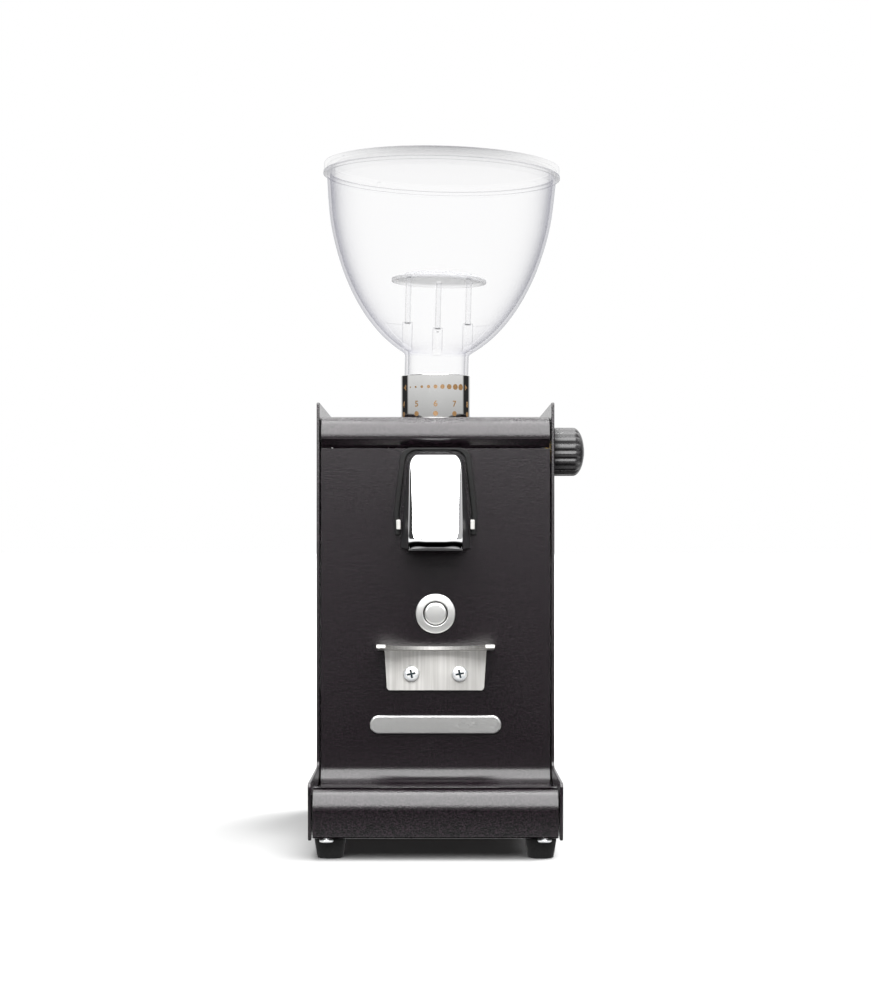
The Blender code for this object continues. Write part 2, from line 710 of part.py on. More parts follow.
def motor():
    """Upright motor hung under its bracket, with its shaft up through the chamber's floor."""
    path = [(-62.6, 148), (-62.6, 167.7), (62.6, 167.7), (62.6, 148)]
    bracket = prism("motor_bracket", strip(path, -2.2), "Y", -42, 42, brushed_steel())
    drill(bracket, "Z", (0, 0), 9, 160, 172)
    upper_bell = [(40, 154), (40, 150), (5, 150), (5, 157), (11.3, 157), (11.3, 165.2), (14.5, 165.2),
                  (14.5, 154)]
    turned("upper_end_bell", upper_bell, cast_aluminium(), 28)
    turned("upper_bearing", tube_profile(4.3, 11.0, 157.3, 164.3), tool_steel(), 20)
    turned("motor_housing", tube_profile(38.2, 40, 74.3, 149.7), brushed_steel(), 32)
    turned("stator", tube_profile(24.5, 37.9, 94, 130), tool_steel(), 32)
    turned("upper_winding", winding_profile(130.3, 142), copper(), 24)
    turned("lower_winding", winding_profile(82, 93.7), copper(), 24)
    turned("rotor", [(24, 133), (24, 91), (16, 89), (5.3, 89), (5.3, 135), (16, 135)], tool_steel(), 28)
    shaft = [(0, 40), (4, 40), (4, 88.5), (5, 88.5), (5, 135.5), (4, 135.5), (4, 187.5), (0, 187.5)]
    turned("motor_shaft", shaft, tool_steel(), 18)
    lower_bell = [(40, 74), (40, 70), (14.5, 70), (14.5, 59.5), (11.3, 59.5), (11.3, 67.7), (5, 67.7),
                  (5, 74)]
    turned("lower_end_bell", lower_bell, cast_aluminium(), 28)
    turned("lower_bearing", tube_profile(4.3, 11.0, 60.4, 67.4), tool_steel(), 20)
    cooling_fan()
    hexagon_ring("burr_nut", "Z", (0, 0), 4.3, 7.5, 183.4, 187.2, zinc())
    capacitor = [(0, 72), (4, 72), (4, 69), (14, 69), (15, 68), (15, 12.6), (0, 12.6)]
    turned("run_capacitor", capacitor, pale_plastic(), 24, center=(42, 52, 0))
    terminal_block()


def winding_profile(low, high):
    return [(37, high - 4), (37, low), (27, low), (27, high - 4), (29.5, high), (34.5, high)]


def cooling_fan():
    """Hub with flat swept blades, one moulding."""
    blades = 9
    outline = []
    for k in range(blades):
        base = math.tau * k / blades
        for radius, turn in ((9, -0.16), (34, -0.30), (34, -0.20), (9, 0.04)):
            angle = base + turn
            outline.append((radius * math.cos(angle), radius * math.sin(angle)))
    fan = prism("cooling_fan", outline, "Z", 44, 56, black_plastic())
    return drill(fan, "Z", (0, 0), 4.3, 40, 60)


def terminal_block():
    """Moulded block with a row of raised terminals."""
    ways = 4
    outline = [(-58, 12.6), (-58, 22)]
    for k in range(ways):
        left = -57 + 8 * k
        outline += [(left, 22), (left, 28), (left + 5.5, 28), (left + 5.5, 22)]
    outline += [(-24.5, 22), (-24.5, 12.6)]
    return prism("terminal_block", outline, "Y", 44, 58, pale_plastic())


# ---------------------------------------------------------------- hopper

def on_hopper(obj, frame):
    """Hang an upright piece on the hopper's own, slightly leaning axis."""
    obj.parent = frame
    obj.data.transform(Matrix.Translation((0, 0, -SEAT_Z * MM)))
    return obj


def bowl_radius(z):
    for (z0, r0), (z1, r1) in zip(BOWL, BOWL[1:]):
        if z <= z1:
            return r0 + (r1 - r0) * (z - z0) / (z1 - z0)
    return BOWL[-1][1]


def hopper(frame):
    """Clear bowl and neck, with three sockets for the bean guard braced by gussets."""
    outer = [(NECK_R, SEAT_Z), (NECK_R, 271.0)]
    outer += [(r, z) for z, r in BOWL]
    inner = [(r - WALL * (1.15 if z < 300 else 1.0), z + (1.0 if z < 300 else 0.0)) for z, r in BOWL]
    inner[-1] = (inner[-1][0], RIM_Z)
    rim = [(68.5, 373.5), (68.5, RIM_Z)]
    profile = outer + rim + inner[::-1] + [(NECK_R - 1.8, 272.0), (NECK_R - 1.8, SEAT_Z)]
    bowl = turned("hopper", profile[::-1], clear_plastic(), 40)
    for k, angle in enumerate((90, 210, 330)):
        boolean(bowl, on_hopper(guard_socket(k, angle), frame), "UNION")
    return on_hopper(bowl, frame)


def guard_socket(index, angle):
    """Blind socket and its gusset, turned to its place around the hopper's axis."""
    sits = 272.6
    top = 288.6
    outside = bowl_radius(top) - 0.8
    profile = [(0, 277.2), (1.95, 277.2), (1.95, top), (2.9, top), (2.9, sits), (0, sits)]
    socket = turned(f"socket_{index}", profile, clear_plastic(), 12, center=(SOCKET_R, 0, 0))
    web = [(SOCKET_R + 2.5, 275.5), (bowl_radius(276) - 0.8, 276), (outside, top - 1.5),
           (SOCKET_R + 2.5, top - 1.5)]
    gusset = prism(f"gusset_{index}", web, "Y", -0.7, 0.7, clear_plastic())
    boolean(socket, gusset, "UNION")
    spin = Matrix.Rotation(math.radians(angle), 4, "Z")
    socket.data.transform(spin)
    gusset.data.transform(spin)
    gusset.parent = None
    gusset.data.transform(Matrix.Translation((0, 0, -SEAT_Z * MM)))
    gusset.parent = bpy.data.objects["hopper_axis"]
    return socket


def hopper_lid(frame):
    """Flat lid with a notched skirt on the rim and a locating ring inside the bowl."""
    under = LID_TOP - 1.8
    low = RIM_Z + 0.5
    profile = [(0, LID_TOP), (LID_R - 0.8, LID_TOP), (LID_R, LID_TOP - 0.8), (LID_R, low), (66.5, low),
               (66.5, under), (63.9, under), (63.9, 371.5), (62.5, 371.5), (62.5, under), (0, under)]
    lid = turned("hopper_lid", profile, clear_plastic(), 40)
    for k in range(4):
        notch = box(f"notch_{k}", (-1.3, -70.5, low - 2), (1.3, -64.8, low + 3.0), black_plastic())
        notch.data.transform(Matrix.Rotation(math.radians(34 + 90 * k), 4, "Z"))
        boolean(lid, on_hopper(notch, frame))
    return on_hopper(lid, frame)


def bean_guard(frame):
    """Frosted dome on three legs that stand in the hopper's sockets."""
    edge, apex, radius = 312.8, 319.7, 27.4
    rise = apex - edge - 2.0
    sphere = (radius ** 2 + rise ** 2) / (2 * rise)
    steps = 4
    top = []
    for i in range(steps + 1):
        r = radius * i / steps
        top.append((r, apex - sphere + math.sqrt(sphere ** 2 - r ** 2)))
    under = [(max(0.0, r - 1.0), z - 1.6) for r, z in top[::-1]]
    under[-1] = (0, apex - 1.6)
    profile = top + [(radius, edge), (radius - 1.4, edge)] + [p for p in under[1:]]
    guard = turned("bean_guard", profile, frosted_plastic(), 28)
    for k, angle in enumerate((90, 210, 330)):
        leg = prism(f"leg_{k}", circle(1.6, 8, (SOCKET_R, 0)), "Z", 277.6, 317, frosted_plastic())
        leg.data.transform(Matrix.Rotation(math.radians(angle), 4, "Z"))
        boolean(guard, on_hopper(leg, frame), "UNION")
    return on_hopper(guard, frame)


# ---------------------------------------------------------------- assembly

def build_casing():
    side_plate("left_side_panel", -1)
    side_plate("right_side_panel", 1)
    front_panel()
    top_cover()
    rear_panel()
    base_plate()
    cord_gland()
    for row, foot_y, screw_y in zip(("front", "rear"), FOOT_Y, BASE_SCREW_Y):
        for side_name, side in (("left", -1), ("right", 1)):
            foot(f"foot_{row}_{side_name}", side * FOOT_X, foot_y)
            under = HEM_Z - GAP if row == "front" else PLATE_BOTTOM
            spot = (side * BASE_SCREW_X, screw_y, under)
            pan_head_screw(f"base_screw_{row}_{side_name}", spot, "Z", -1, 3.4, 5)


def build_front():
    chute_body()
    chute_cover()
    chute_surround()
    chute_clip("chute_clip_left", -1)
    chute_clip("chute_clip_right", 1)
    portafilter_fork()
    badge()
    push_switch()
    head = PANEL_FACE - GAP - 1.8 - GAP
    for side_name, side in (("left", -1), ("right", 1)):
        spot = (side * FORK_SCREW[0], head, FORK_SCREW[1])
        pan_head_screw(f"fork_screw_{side_name}", spot, "Y", -1, 4.0, 9)


def build_grinding_gear():
    grinding_chamber()
    burr("lower_burr", 12, 183.3, 190.0, 1)
    burr("upper_burr", 15.5, 197.7, 190.9, -1)
    lower_burr_carrier()
    upper_burr_carrier()
    adjusting_ring()
    worm_drive()
    motor()


def build_hopper():
    frame = bpy.data.objects.new("hopper_axis", None)
    bpy.context.collection.objects.link(frame)
    frame.parent = ORIGIN
    frame.location = (0, 0, SEAT_Z * MM)
    frame.rotation_euler = (0, HOPPER_LEAN, 0)
    hopper(frame)
    hopper_lid(frame)
    bean_guard(frame)


clear_scene()
ORIGIN = bpy.data.objects.new("grinder_origin", None)
bpy.context.collection.objects.link(ORIGIN)
ORIGIN.location = Vector(OFFSET) * MM
build_casing()
build_front()
build_grinding_gear()
build_hopper()
bpy.context.view_layer.update()
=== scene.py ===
import json
import math

import bmesh
import bpy
from mathutils import Matrix, Vector

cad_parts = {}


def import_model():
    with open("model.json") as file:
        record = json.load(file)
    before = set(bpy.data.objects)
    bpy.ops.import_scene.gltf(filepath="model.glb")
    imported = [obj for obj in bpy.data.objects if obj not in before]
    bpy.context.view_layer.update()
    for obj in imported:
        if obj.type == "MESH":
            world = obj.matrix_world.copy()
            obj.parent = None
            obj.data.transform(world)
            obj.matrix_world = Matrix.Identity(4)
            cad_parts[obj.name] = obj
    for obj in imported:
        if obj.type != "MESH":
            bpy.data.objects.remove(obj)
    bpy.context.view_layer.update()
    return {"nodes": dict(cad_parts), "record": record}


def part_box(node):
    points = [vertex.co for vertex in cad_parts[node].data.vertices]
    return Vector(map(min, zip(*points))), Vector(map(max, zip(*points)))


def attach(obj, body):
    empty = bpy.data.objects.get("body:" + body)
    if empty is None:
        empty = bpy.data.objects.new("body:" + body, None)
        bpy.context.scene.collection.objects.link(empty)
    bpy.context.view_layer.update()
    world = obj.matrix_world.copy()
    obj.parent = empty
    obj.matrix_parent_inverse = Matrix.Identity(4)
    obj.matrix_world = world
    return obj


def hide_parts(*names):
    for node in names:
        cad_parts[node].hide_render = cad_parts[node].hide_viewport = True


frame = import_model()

MM = 0.001

# Shapes below are drawn in millimetres about the burr axis, front towards -Y, floor at z = 0.
RING_LOW, RING_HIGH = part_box("adjusting_ring")
AXIS = Vector(((RING_LOW.x + RING_HIGH.x) / 2, (RING_LOW.y + RING_HIGH.y) / 2, 0.0))


def local(node):
    """A CAD node's lowest and highest corner, in millimetres about the burr axis."""
    low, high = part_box(node)
    return (low - AXIS) / MM, (high - AXIS) / MM


PLATE_LOW, PLATE_HIGH = local("right_side_panel")
PANEL_LOW, PANEL_HIGH = local("front_panel")
COVER_HIGH = local("top_cover")[1]
REAR_LOW, REAR_HIGH = local("rear_panel")
BADGE_LOW, BADGE_HIGH = local("badge")
GLAND_LOW, GLAND_HIGH = local("cord_gland")
KNOB_LOW, KNOB_HIGH = local("adjusting_knob")

BODY_HALF_W = PLATE_HIGH.x
PLATE_T = PLATE_HIGH.x - PLATE_LOW.x
PLATE_TOP = PLATE_HIGH.z
PLATE_BOTTOM = PLATE_LOW.z
BODY_BACK = PLATE_HIGH.y
BODY_FRONT = -BODY_BACK
BASE_FRONT = PLATE_LOW.y
BASE_TOP = 40.0
SHEET_T = 1.0
SHEET_HALF_W = PANEL_HIGH.x
PANEL_FACE = BADGE_HIGH.y + 0.3
PANEL_TOP = PANEL_HIGH.z
HEM_Z = PANEL_LOW.z
TRAY_Z = 31.5
LIP_TOP = 36.6
LIP_FRONT = -162.0
COVER_Z = COVER_HIGH.z
GAP = 0.3

COLLAR_R = 20.05
COLLAR_BORE = 19.1
COLLAR_TOP = RING_HIGH.z / MM
KNOB_AXIS = ((KNOB_LOW.y + KNOB_HIGH.y) / 2, (KNOB_LOW.z + KNOB_HIGH.z) / 2)
KNOB_R = (KNOB_HIGH.z - KNOB_LOW.z) / 2
WHEEL_TEETH = 40
WHEEL_PITCH_R = 30.0
AXIAL_PITCH = math.tau * WHEEL_PITCH_R / WHEEL_TEETH
WORM_PITCH_R = 6.0

SEAT_Z = 239.3
HOPPER_LEAN = math.radians(1.5)
NECK_R = 18.4
WALL = 1.6
RIM_Z = 375.5
LID_R = 68.1
LID_TOP = 380.8
SOCKET_R = 20.0
SOCKET_ANGLES = (90, 210, 330)
BOWL = ((272.8, 20.7), (276.3, 25.8), (283.2, 33.7), (294.0, 42.6), (307.6, 50.7), (325.0, 57.9),
        (347.0, 63.6), (373.5, 66.3))

CHUTE_HALF_W = 14.6
CHUTE_FOOT = (-113.5, 159.4)
CHUTE_SHOULDER = (-97.0, 199.0)
CHUTE_TOP = (-78.0, 212.6)

SWITCH_Z = 123.6
FORK_SCREW = (13.2, 90.8)

CAMERA_AT = (0.0, -1332.0, 162.7)
LENS = 83.2
SHIFT_Y = 0.0447


# ---------------------------------------------------------------- node helpers

def new_material(name, color, roughness, metallic=0.0, **sockets):
    """A Principled material; a socket's spaces are underscores in its keyword."""
    mat = bpy.data.materials.new(name)
    mat.use_nodes = True
    shader = mat.node_tree.nodes["Principled BSDF"]
    shader.inputs["Base Color"].default_value = (*color, 1.0)
    shader.inputs["Roughness"].default_value = roughness
    shader.inputs["Metallic"].default_value = metallic
    for socket, value in sockets.items():
        shader.inputs[socket.replace("_", " ")].default_value = value
    return mat, mat.node_tree, shader


def noise(tree, scale, detail=2.0, stretch=None, roughness=0.5):
    """Noise in the object's own metres, stretched along an axis for grain."""
    coords = tree.nodes.new("ShaderNodeTexCoord")
    texture = tree.nodes.new("ShaderNodeTexNoise")
    texture.inputs["Scale"].default_value = scale
    texture.inputs["Detail"].default_value = detail
    texture.inputs["Roughness"].default_value = roughness
    if stretch is None:
        tree.links.new(coords.outputs["Object"], texture.inputs["Vector"])
        return texture.outputs["Fac"]
    mapping = tree.nodes.new("ShaderNodeMapping")
    mapping.inputs["Scale"].default_value = stretch
    tree.links.new(coords.outputs["Object"], mapping.inputs["Vector"])
    tree.links.new(mapping.outputs["Vector"], texture.inputs["Vector"])
    return texture.outputs["Fac"]


def ramp(tree, factor, stops):
    """A colour ramp from (position, colour) stops."""
    node = tree.nodes.new("ShaderNodeValToRGB")
    elements = node.color_ramp.elements
    for i, (position, color) in enumerate(stops):
        element = elements[i] if i < 2 else elements.new(position)
        element.position = position
        element.color = (*color, 1.0)
    tree.links.new(factor, node.inputs["Fac"])
    return node.outputs["Color"]


def span(tree, factor, low, high, from_low=0.3, from_high=0.7):
    """Map a factor onto low..high, by default from the range that a noise mostly keeps to."""
    node = tree.nodes.new("ShaderNodeMapRange")
    node.inputs["From Min"].default_value = from_low
    node.inputs["From Max"].default_value = from_high
    node.inputs["To Min"].default_value = low
    node.inputs["To Max"].default_value = high
    tree.links.new(factor, node.inputs["Value"])
    return node.outputs["Result"]


def math_node(tree, operation, first, *others):
    """Chain one operation over values, each a float or another node's output."""
    for other in others:
        node = tree.nodes.new("ShaderNodeMath")
        node.operation = operation
        for socket, value in zip(node.inputs, (first, other)):
            if isinstance(value, float):
                socket.default_value = value
            else:
                tree.links.new(value, socket)
        first = node.outputs[0]
    return first


def bump(tree, shader, height, strength, distance):
    node = tree.nodes.new("ShaderNodeBump")
    node.inputs["Strength"].default_value = strength
    node.inputs["Distance"].default_value = distance
    tree.links.new(height, node.inputs["Height"])
    tree.links.new(node.outputs["Normal"], shader.inputs["Normal"])


# ---------------------------------------------------------------- materials

def powder_coat():
    """Fine textured black powder coat with a slight warm purple tint and paler grains."""
    mat, tree, shader = new_material("powder_coat", (0.012, 0.0105, 0.012), 0.22)
    grain = noise(tree, 1300, 2.0, roughness=0.6)
    speck = noise(tree, 1250, 1.0)
    color = ramp(tree, speck, ((0.45, (0.0001, 0.0, 0.0001)), (0.64, (0.013, 0.0068, 0.0108))))
    tree.links.new(color, shader.inputs["Base Color"])
    tree.links.new(span(tree, grain, 0.16, 0.25), shader.inputs["Roughness"])
    tree.links.new(span(tree, speck, 0.46, 0.54), shader.inputs["Specular IOR Level"])
    bump(tree, shader, grain, 0.6, 0.00014)
    return mat


def brushed_steel():
    """Sheet steel with a fine grain across its width."""
    mat, tree, shader = new_material("brushed_steel", (0.62, 0.615, 0.60), 0.36, 1.0)
    streak = noise(tree, 700, 3.0, stretch=(1.0, 1.0, 0.03))
    cloud = noise(tree, 60, 2.0)
    color = ramp(tree, streak, ((0.3, (0.50, 0.49, 0.47)), (0.7, (0.65, 0.64, 0.62))))
    tree.links.new(color, shader.inputs["Base Color"])
    tree.links.new(span(tree, cloud, 0.38, 0.48), shader.inputs["Roughness"])
    bump(tree, shader, streak, 0.25, 0.00004)
    return mat


def knob_plastic():
    """Hard black moulding, a little greyer where hands have polished it."""
    mat, tree, shader = new_material("knob_plastic", (0.014, 0.0135, 0.014), 0.3)
    cloud = noise(tree, 300, 3.0)
    color = ramp(tree, cloud, ((0.3, (0.010, 0.0095, 0.010)), (0.7, (0.018, 0.017, 0.018))))
    tree.links.new(color, shader.inputs["Base Color"])
    tree.links.new(span(tree, cloud, 0.24, 0.34), shader.inputs["Roughness"])
    bump(tree, shader, noise(tree, 2200, 2.0), 0.2, 0.00005)
    return mat


def grained(name, color, roughness, scale, detail=2.0, metallic=0.0, relief=None, **sockets):
    """Even colour with a grain in its roughness and, given a relief (strength, metres), its height."""
    mat, tree, shader = new_material(name, color, sum(roughness) / 2, metallic, **sockets)
    grain = noise(tree, scale, detail)
    tree.links.new(span(tree, grain, *roughness), shader.inputs["Roughness"])
    if relief:
        bump(tree, shader, grain, *relief)
    return mat


def mottled(name, dark, pale, roughness, scale, detail=2.0, metallic=0.0, spread=0.4, stretch=None):
    """Colour that drifts from dark to pale over a spread of the noise; roughness is one value or two."""
    middle = [(low + high) / 2 for low, high in zip(dark, pale)]
    mat, tree, shader = new_material(name, middle, sum(roughness) / len(roughness), metallic)
    cloud = noise(tree, scale, detail, stretch)
    color = ramp(tree, cloud, ((0.5 - spread / 2, dark), (0.5 + spread / 2, pale)))
    tree.links.new(color, shader.inputs["Base Color"])
    if len(roughness) == 2:
        tree.links.new(span(tree, cloud, *roughness), shader.inputs["Roughness"])
    if stretch:
        bump(tree, shader, cloud, 0.6, 0.0003)
    return mat


def see_through(name, color, roughness, scale, facing, grazing, power, relief=None):
    """Plastic that lets light straight through a thin wall, less so where it is seen edge on."""
    mat = grained(name, color, roughness, scale, relief=relief, Specular_IOR_Level=0.3)
    tree = mat.node_tree
    layer = tree.nodes.new("ShaderNodeLayerWeight")
    edge = math_node(tree, "POWER", layer.outputs["Facing"], power)
    alpha = tree.nodes["Principled BSDF"].inputs["Alpha"]
    tree.links.new(span(tree, edge, facing, grazing, 0.0, 1.0), alpha)
    return mat


# The frame's own materials hold some of these names, so Blender adds a number after a dot.
MATERIALS = {mat.name.split(".")[0]: mat for mat in (
    powder_coat(),
    brushed_steel(),
    knob_plastic(),
    grained("satin_steel", (0.62, 0.62, 0.61), (0.28, 0.36), 1200, 3.0, 1.0),
    grained("chrome", (0.90, 0.905, 0.91), (0.015, 0.05), 120, 2.0, 1.0),
    grained("collar_finish", (0.58, 0.58, 0.573), (0.04, 0.08), 200, 2.0, 1.0),
    grained("black_plastic", (0.022, 0.022, 0.023), (0.28, 0.42), 2600, relief=(0.18, 0.00006)),
    grained("rubber", (0.004, 0.004, 0.004), (0.62, 0.85), 1800, 3.0, relief=(0.3, 0.0001),
            Specular_IOR_Level=0.3),
    grained("cast_aluminium", (0.50, 0.50, 0.51), (0.4, 0.65), 500, 4.0, 1.0, relief=(0.4, 0.0002)),
    grained("tool_steel", (0.42, 0.42, 0.44), (0.22, 0.4), 800, 3.0, 1.0),
    grained("pale_plastic", (0.70, 0.69, 0.65), (0.42, 0.6), 900),
    mottled("zinc", (0.78, 0.81, 0.84), (0.92, 0.92, 0.90), (0.36, 0.5), 900, 3.0, 1.0, spread=0.3),
    # painted shade: a dark bluish colour for the faces of the screws' cross-shaped hollows
    mottled("painted_cross_shade", (0.015, 0.028, 0.034), (0.06, 0.09, 0.105), (0.5,), 1500, 2.0, 0.5, spread=0.3),
    mottled("gold_print", (0.14, 0.075, 0.028), (0.22, 0.125, 0.05), (0.45,), 4000, 2.0, 0.2),
    mottled("brass", (0.60, 0.41, 0.16), (0.78, 0.58, 0.28), (0.3,), 300, 3.0, 1.0),
    mottled("copper", (0.42, 0.15, 0.06), (0.75, 0.36, 0.2), (0.35,), 500, 2.0, 0.9,
            stretch=(1.0, 1.0, 8.0)),
    see_through("clear_plastic", (0.08, 0.08, 0.115), (0.12, 0.22), 18, 0.01, 0.88, 4.5),
    see_through("lid_plastic", (0.06, 0.06, 0.085), (0.08, 0.18), 12, 0.006, 0.9, 16.0),
    see_through("frosted_plastic", (0.24, 0.24, 0.25), (0.36, 0.5), 1500, 0.13, 0.6, 2.5,
                relief=(0.15, 0.00008)),
)}


# ---------------------------------------------------------------- outlines

def arc(center, radius, start, end, steps):
    """Points on a circle from start to end, in degrees, both ends included."""
    points = []
    for i in range(steps + 1):
        angle = math.radians(start + (end - start) * i / steps)
        points.append((center[0] + radius * math.cos(angle), center[1] + radius * math.sin(angle)))
    return points


def fillet(points, radii, steps=8, closed=False):
    """Round the corners of a polyline: one radius for each point, 0 keeps the corner sharp."""
    count = len(points)
    result = []
    for i, (point, radius) in enumerate(zip(points, radii)):
        inner = closed or 0 < i < count - 1
        if not inner or radius <= 0:
            result.append(tuple(point))
            continue
        here = Vector(point)
        before = (Vector(points[i - 1]) - here).normalized()
        after = (Vector(points[(i + 1) % count]) - here).normalized()
        half = before.angle(after) / 2
        reach = radius / math.tan(half)
        center = here + (before + after).normalized() * radius / math.sin(half)
        first = here + before * reach - center
        last = here + after * reach - center
        sweep = first.angle_signed(last)
        for k in range(steps + 1):
            turned_by = Matrix.Rotation(-sweep * k / steps, 2)
            result.append(tuple(center + turned_by @ first))
    return result


def strip(path, thickness):
    """Closed outline of a sheet of this thickness whose first face follows the path (to its left)."""
    other = []
    for i, point in enumerate(path):
        here = Vector(point)
        into = (here - Vector(path[i - 1])).normalized() if i else None
        out = (Vector(path[i + 1]) - here).normalized() if i < len(path) - 1 else None
        into = into or out
        out = out or into
        normal = (Vector((-into.y, into.x)) + Vector((-out.y, out.x))).normalized()
        stretch = 1 / max(0.3, normal.dot(Vector((-out.y, out.x))))
        other.append(tuple(here + normal * thickness * stretch))
    return list(path) + other[::-1]


def circle(radius, steps, center=(0.0, 0.0)):
    return arc(center, radius, 0, 360 * (steps - 1) / steps, steps - 1)


def box_outline(low, high):
    return [(low[0], low[1]), (high[0], low[1]), (high[0], high[1]), (low[0], high[1])]


def smooth_curve(points, steps):
    """Catmull-Rom curve through the points, with this many pieces for each span."""
    ends = [points[0], *points, points[-1]]
    result = [tuple(points[0])]
    for i in range(1, len(points)):
        p0, p1, p2, p3 = (Vector(ends[i + k - 1]) for k in range(4))
        for k in range(1, steps + 1):
            t = k / steps
            bend = 2 * p1 + (p2 - p0) * t
            bend += (2 * p0 - 5 * p1 + 4 * p2 - p3) * t ** 2
            bend += (3 * p1 - p0 - 3 * p2 + p3) * t ** 3
            result.append(tuple(bend / 2))
    return result


# ---------------------------------------------------------------- mesh helpers

def mesh_object(name, points, faces, material, smooth_angle=30, closed=True):
    """An object from millimetre points about the burr axis, placed in the row frame."""
    mesh = bpy.data.meshes.new(name)
    mesh.from_pydata([Vector(p) * MM + AXIS for p in points], [], faces)
    if closed:
        work = bmesh.new()
        work.from_mesh(mesh)
        bmesh.ops.recalc_face_normals(work, faces=work.faces)
        work.to_mesh(mesh)
        work.free()
    mesh.materials.append(MATERIALS[material])
    mesh.shade_smooth()
    mesh.set_sharp_from_angle(angle=math.radians(smooth_angle))
    obj = bpy.data.objects.new(name, mesh)
    bpy.context.scene.collection.objects.link(obj)
    return obj


def place_2d(axis, pair, along):
    """A point of an outline drawn across an axis: X takes (y, z), Y takes (x, z), Z takes (x, y)."""
    if axis == "X":
        return (along, pair[0], pair[1])
    if axis == "Y":
        return (pair[0], along, pair[1])
    return (pair[0], pair[1], along)


def prism_faces(count):
    """The two ends and the sides of a prism whose outline has this many points."""
    ends = [tuple(range(count)), tuple(range(2 * count - 1, count - 1, -1))]
    return ends + [(k, (k + 1) % count, count + (k + 1) % count, count + k) for k in range(count)]


def prism(name, outline, axis, low, high, material):
    points = [place_2d(axis, p, low) for p in outline] + [place_2d(axis, p, high) for p in outline]
    return mesh_object(name, points, prism_faces(len(outline)), material)


def box(name, low, high, material="black_plastic"):
    return prism(name, box_outline(low[:2], high[:2]), "Z", low[2], high[2], material)


def loft(name, sections, material, smooth_angle=30):
    """Closed sections with the same number of points, joined in order and capped at both ends."""
    count = len(sections[0])
    points = [p for section in sections for p in section]
    faces = [tuple(range(count))]
    for s in range(len(sections) - 1):
        for i in range(count):
            j = (i + 1) % count
            faces.append((s * count + i, s * count + j, (s + 1) * count + j, (s + 1) * count + i))
    faces.append(tuple(range(len(points) - 1, len(points) - 1 - count, -1)))
    return mesh_object(name, points, faces, material, smooth_angle)


def turned(name, profile, material, segments=96, axis="Z", center=(0, 0, 0), shape=None,
           smooth_angle=30):
    """Turn a profile of (radius, height) about an axis.

    A profile that starts and ends at radius 0 makes a solid; any other is closed into a ring.
    shape(radius, angle, height) may change the radius, for flutes.
    """
    ring = profile[0][0] > 0 or profile[-1][0] > 0
    points = []
    rows = []
    for radius, height in profile:
        row = []
        for i in range(segments if radius > 0 else 1):
            angle = math.tau * i / segments
            r = shape(radius, angle, height) if shape else radius
            a = r * math.cos(angle)
            b = r * math.sin(angle)
            spot = {"Z": (a, b, height), "Y": (a, height, b), "X": (height, a, b)}[axis]
            row.append(len(points))
            points.append(tuple(c + p for c, p in zip(center, spot)))
        rows.append(row)
    pairs = list(zip(rows, rows[1:])) + ([(rows[-1], rows[0])] if ring else [])
    faces = []
    for one, two in pairs:
        for i in range(segments):
            j = i + 1
            quad = (one[i % len(one)], one[j % len(one)], two[j % len(two)], two[i % len(two)])
            corners = tuple(dict.fromkeys(quad))
            if len(corners) > 2:
                faces.append(corners)
    return mesh_object(name, points, faces, material, smooth_angle)


def bake_modifiers(obj, smooth_angle=30):
    """Turn an object's modifiers into plain mesh."""
    depsgraph = bpy.context.evaluated_depsgraph_get()
    mesh = bpy.data.meshes.new_from_object(obj.evaluated_get(depsgraph))
    obj.modifiers.clear()
    obj.data = mesh
    mesh.shade_smooth()
    mesh.set_sharp_from_angle(angle=math.radians(smooth_angle))
    return obj


def combine(obj, tools, operation="DIFFERENCE", smooth_angle=30):
    """Cut the tools out of an object, or join them to it, and remove them."""
    for tool in tools:
        modifier = obj.modifiers.new(tool.name, "BOOLEAN")
        modifier.operation = operation
        modifier.object = tool
        modifier.material_mode = "TRANSFER"
    bake_modifiers(obj, smooth_angle)
    for tool in tools:
        bpy.data.objects.remove(tool, do_unlink=True)
    return obj


def soften(obj, width, segments=3, angle=30):
    """Round an object's edges by a width in millimetres."""
    modifier = obj.modifiers.new("edges", "BEVEL")
    modifier.width = width * MM
    modifier.segments = segments
    modifier.limit_method = "ANGLE"
    modifier.angle_limit = math.radians(angle)
    modifier.use_clamp_overlap = True
    modifier.harden_normals = True
    return obj


def even_normals(obj):
    """Let each broad face keep its own normal, so that mirror finishes show no false curves."""
    modifier = obj.modifiers.new("normals", "WEIGHTED_NORMAL")
    modifier.keep_sharp = True
    modifier.weight = 90
    return obj


def bent_sheet(name, path):
    """Coated sheet between the side plates, its outer face on the path."""
    return prism(name, strip(path, SHEET_T), "X", -SHEET_HALF_W, SHEET_HALF_W, "powder_coat")


def hole(axis, center, radius, low, high, segments=64):
    """A round tool that cuts a bore along an axis."""
    return prism("hole", circle(radius, segments, center), axis, low, high, "black_plastic")


def fit(obj, body, *nodes):
    """The piece rides on a body and stands for CAD nodes."""
    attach(obj, body)
    if nodes:
        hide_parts(*nodes)
    return obj


# ---------------------------------------------------------------- casing

def side_plate(side, node):
    low = min(side * BODY_HALF_W, side * (BODY_HALF_W - PLATE_T))
    corners = [(BODY_BACK, PLATE_BOTTOM), (BODY_BACK, PLATE_TOP), (BODY_FRONT, PLATE_TOP),
               (BODY_FRONT, BASE_TOP), (BASE_FRONT, BASE_TOP), (BASE_FRONT + 2.0, PLATE_BOTTOM)]
    outline = fillet(corners, (0.8, 3, 1.5, 3, 2.5, 1), closed=True)
    plate = prism(f"{node}_sheet", outline, "X", low, low + PLATE_T, "powder_coat")
    if side > 0:
        combine(plate, [hole("X", KNOB_AXIS, 4.5, low - 2, low + PLATE_T + 2)])
    soften(plate, 0.35)
    return fit(plate, "casing", node)


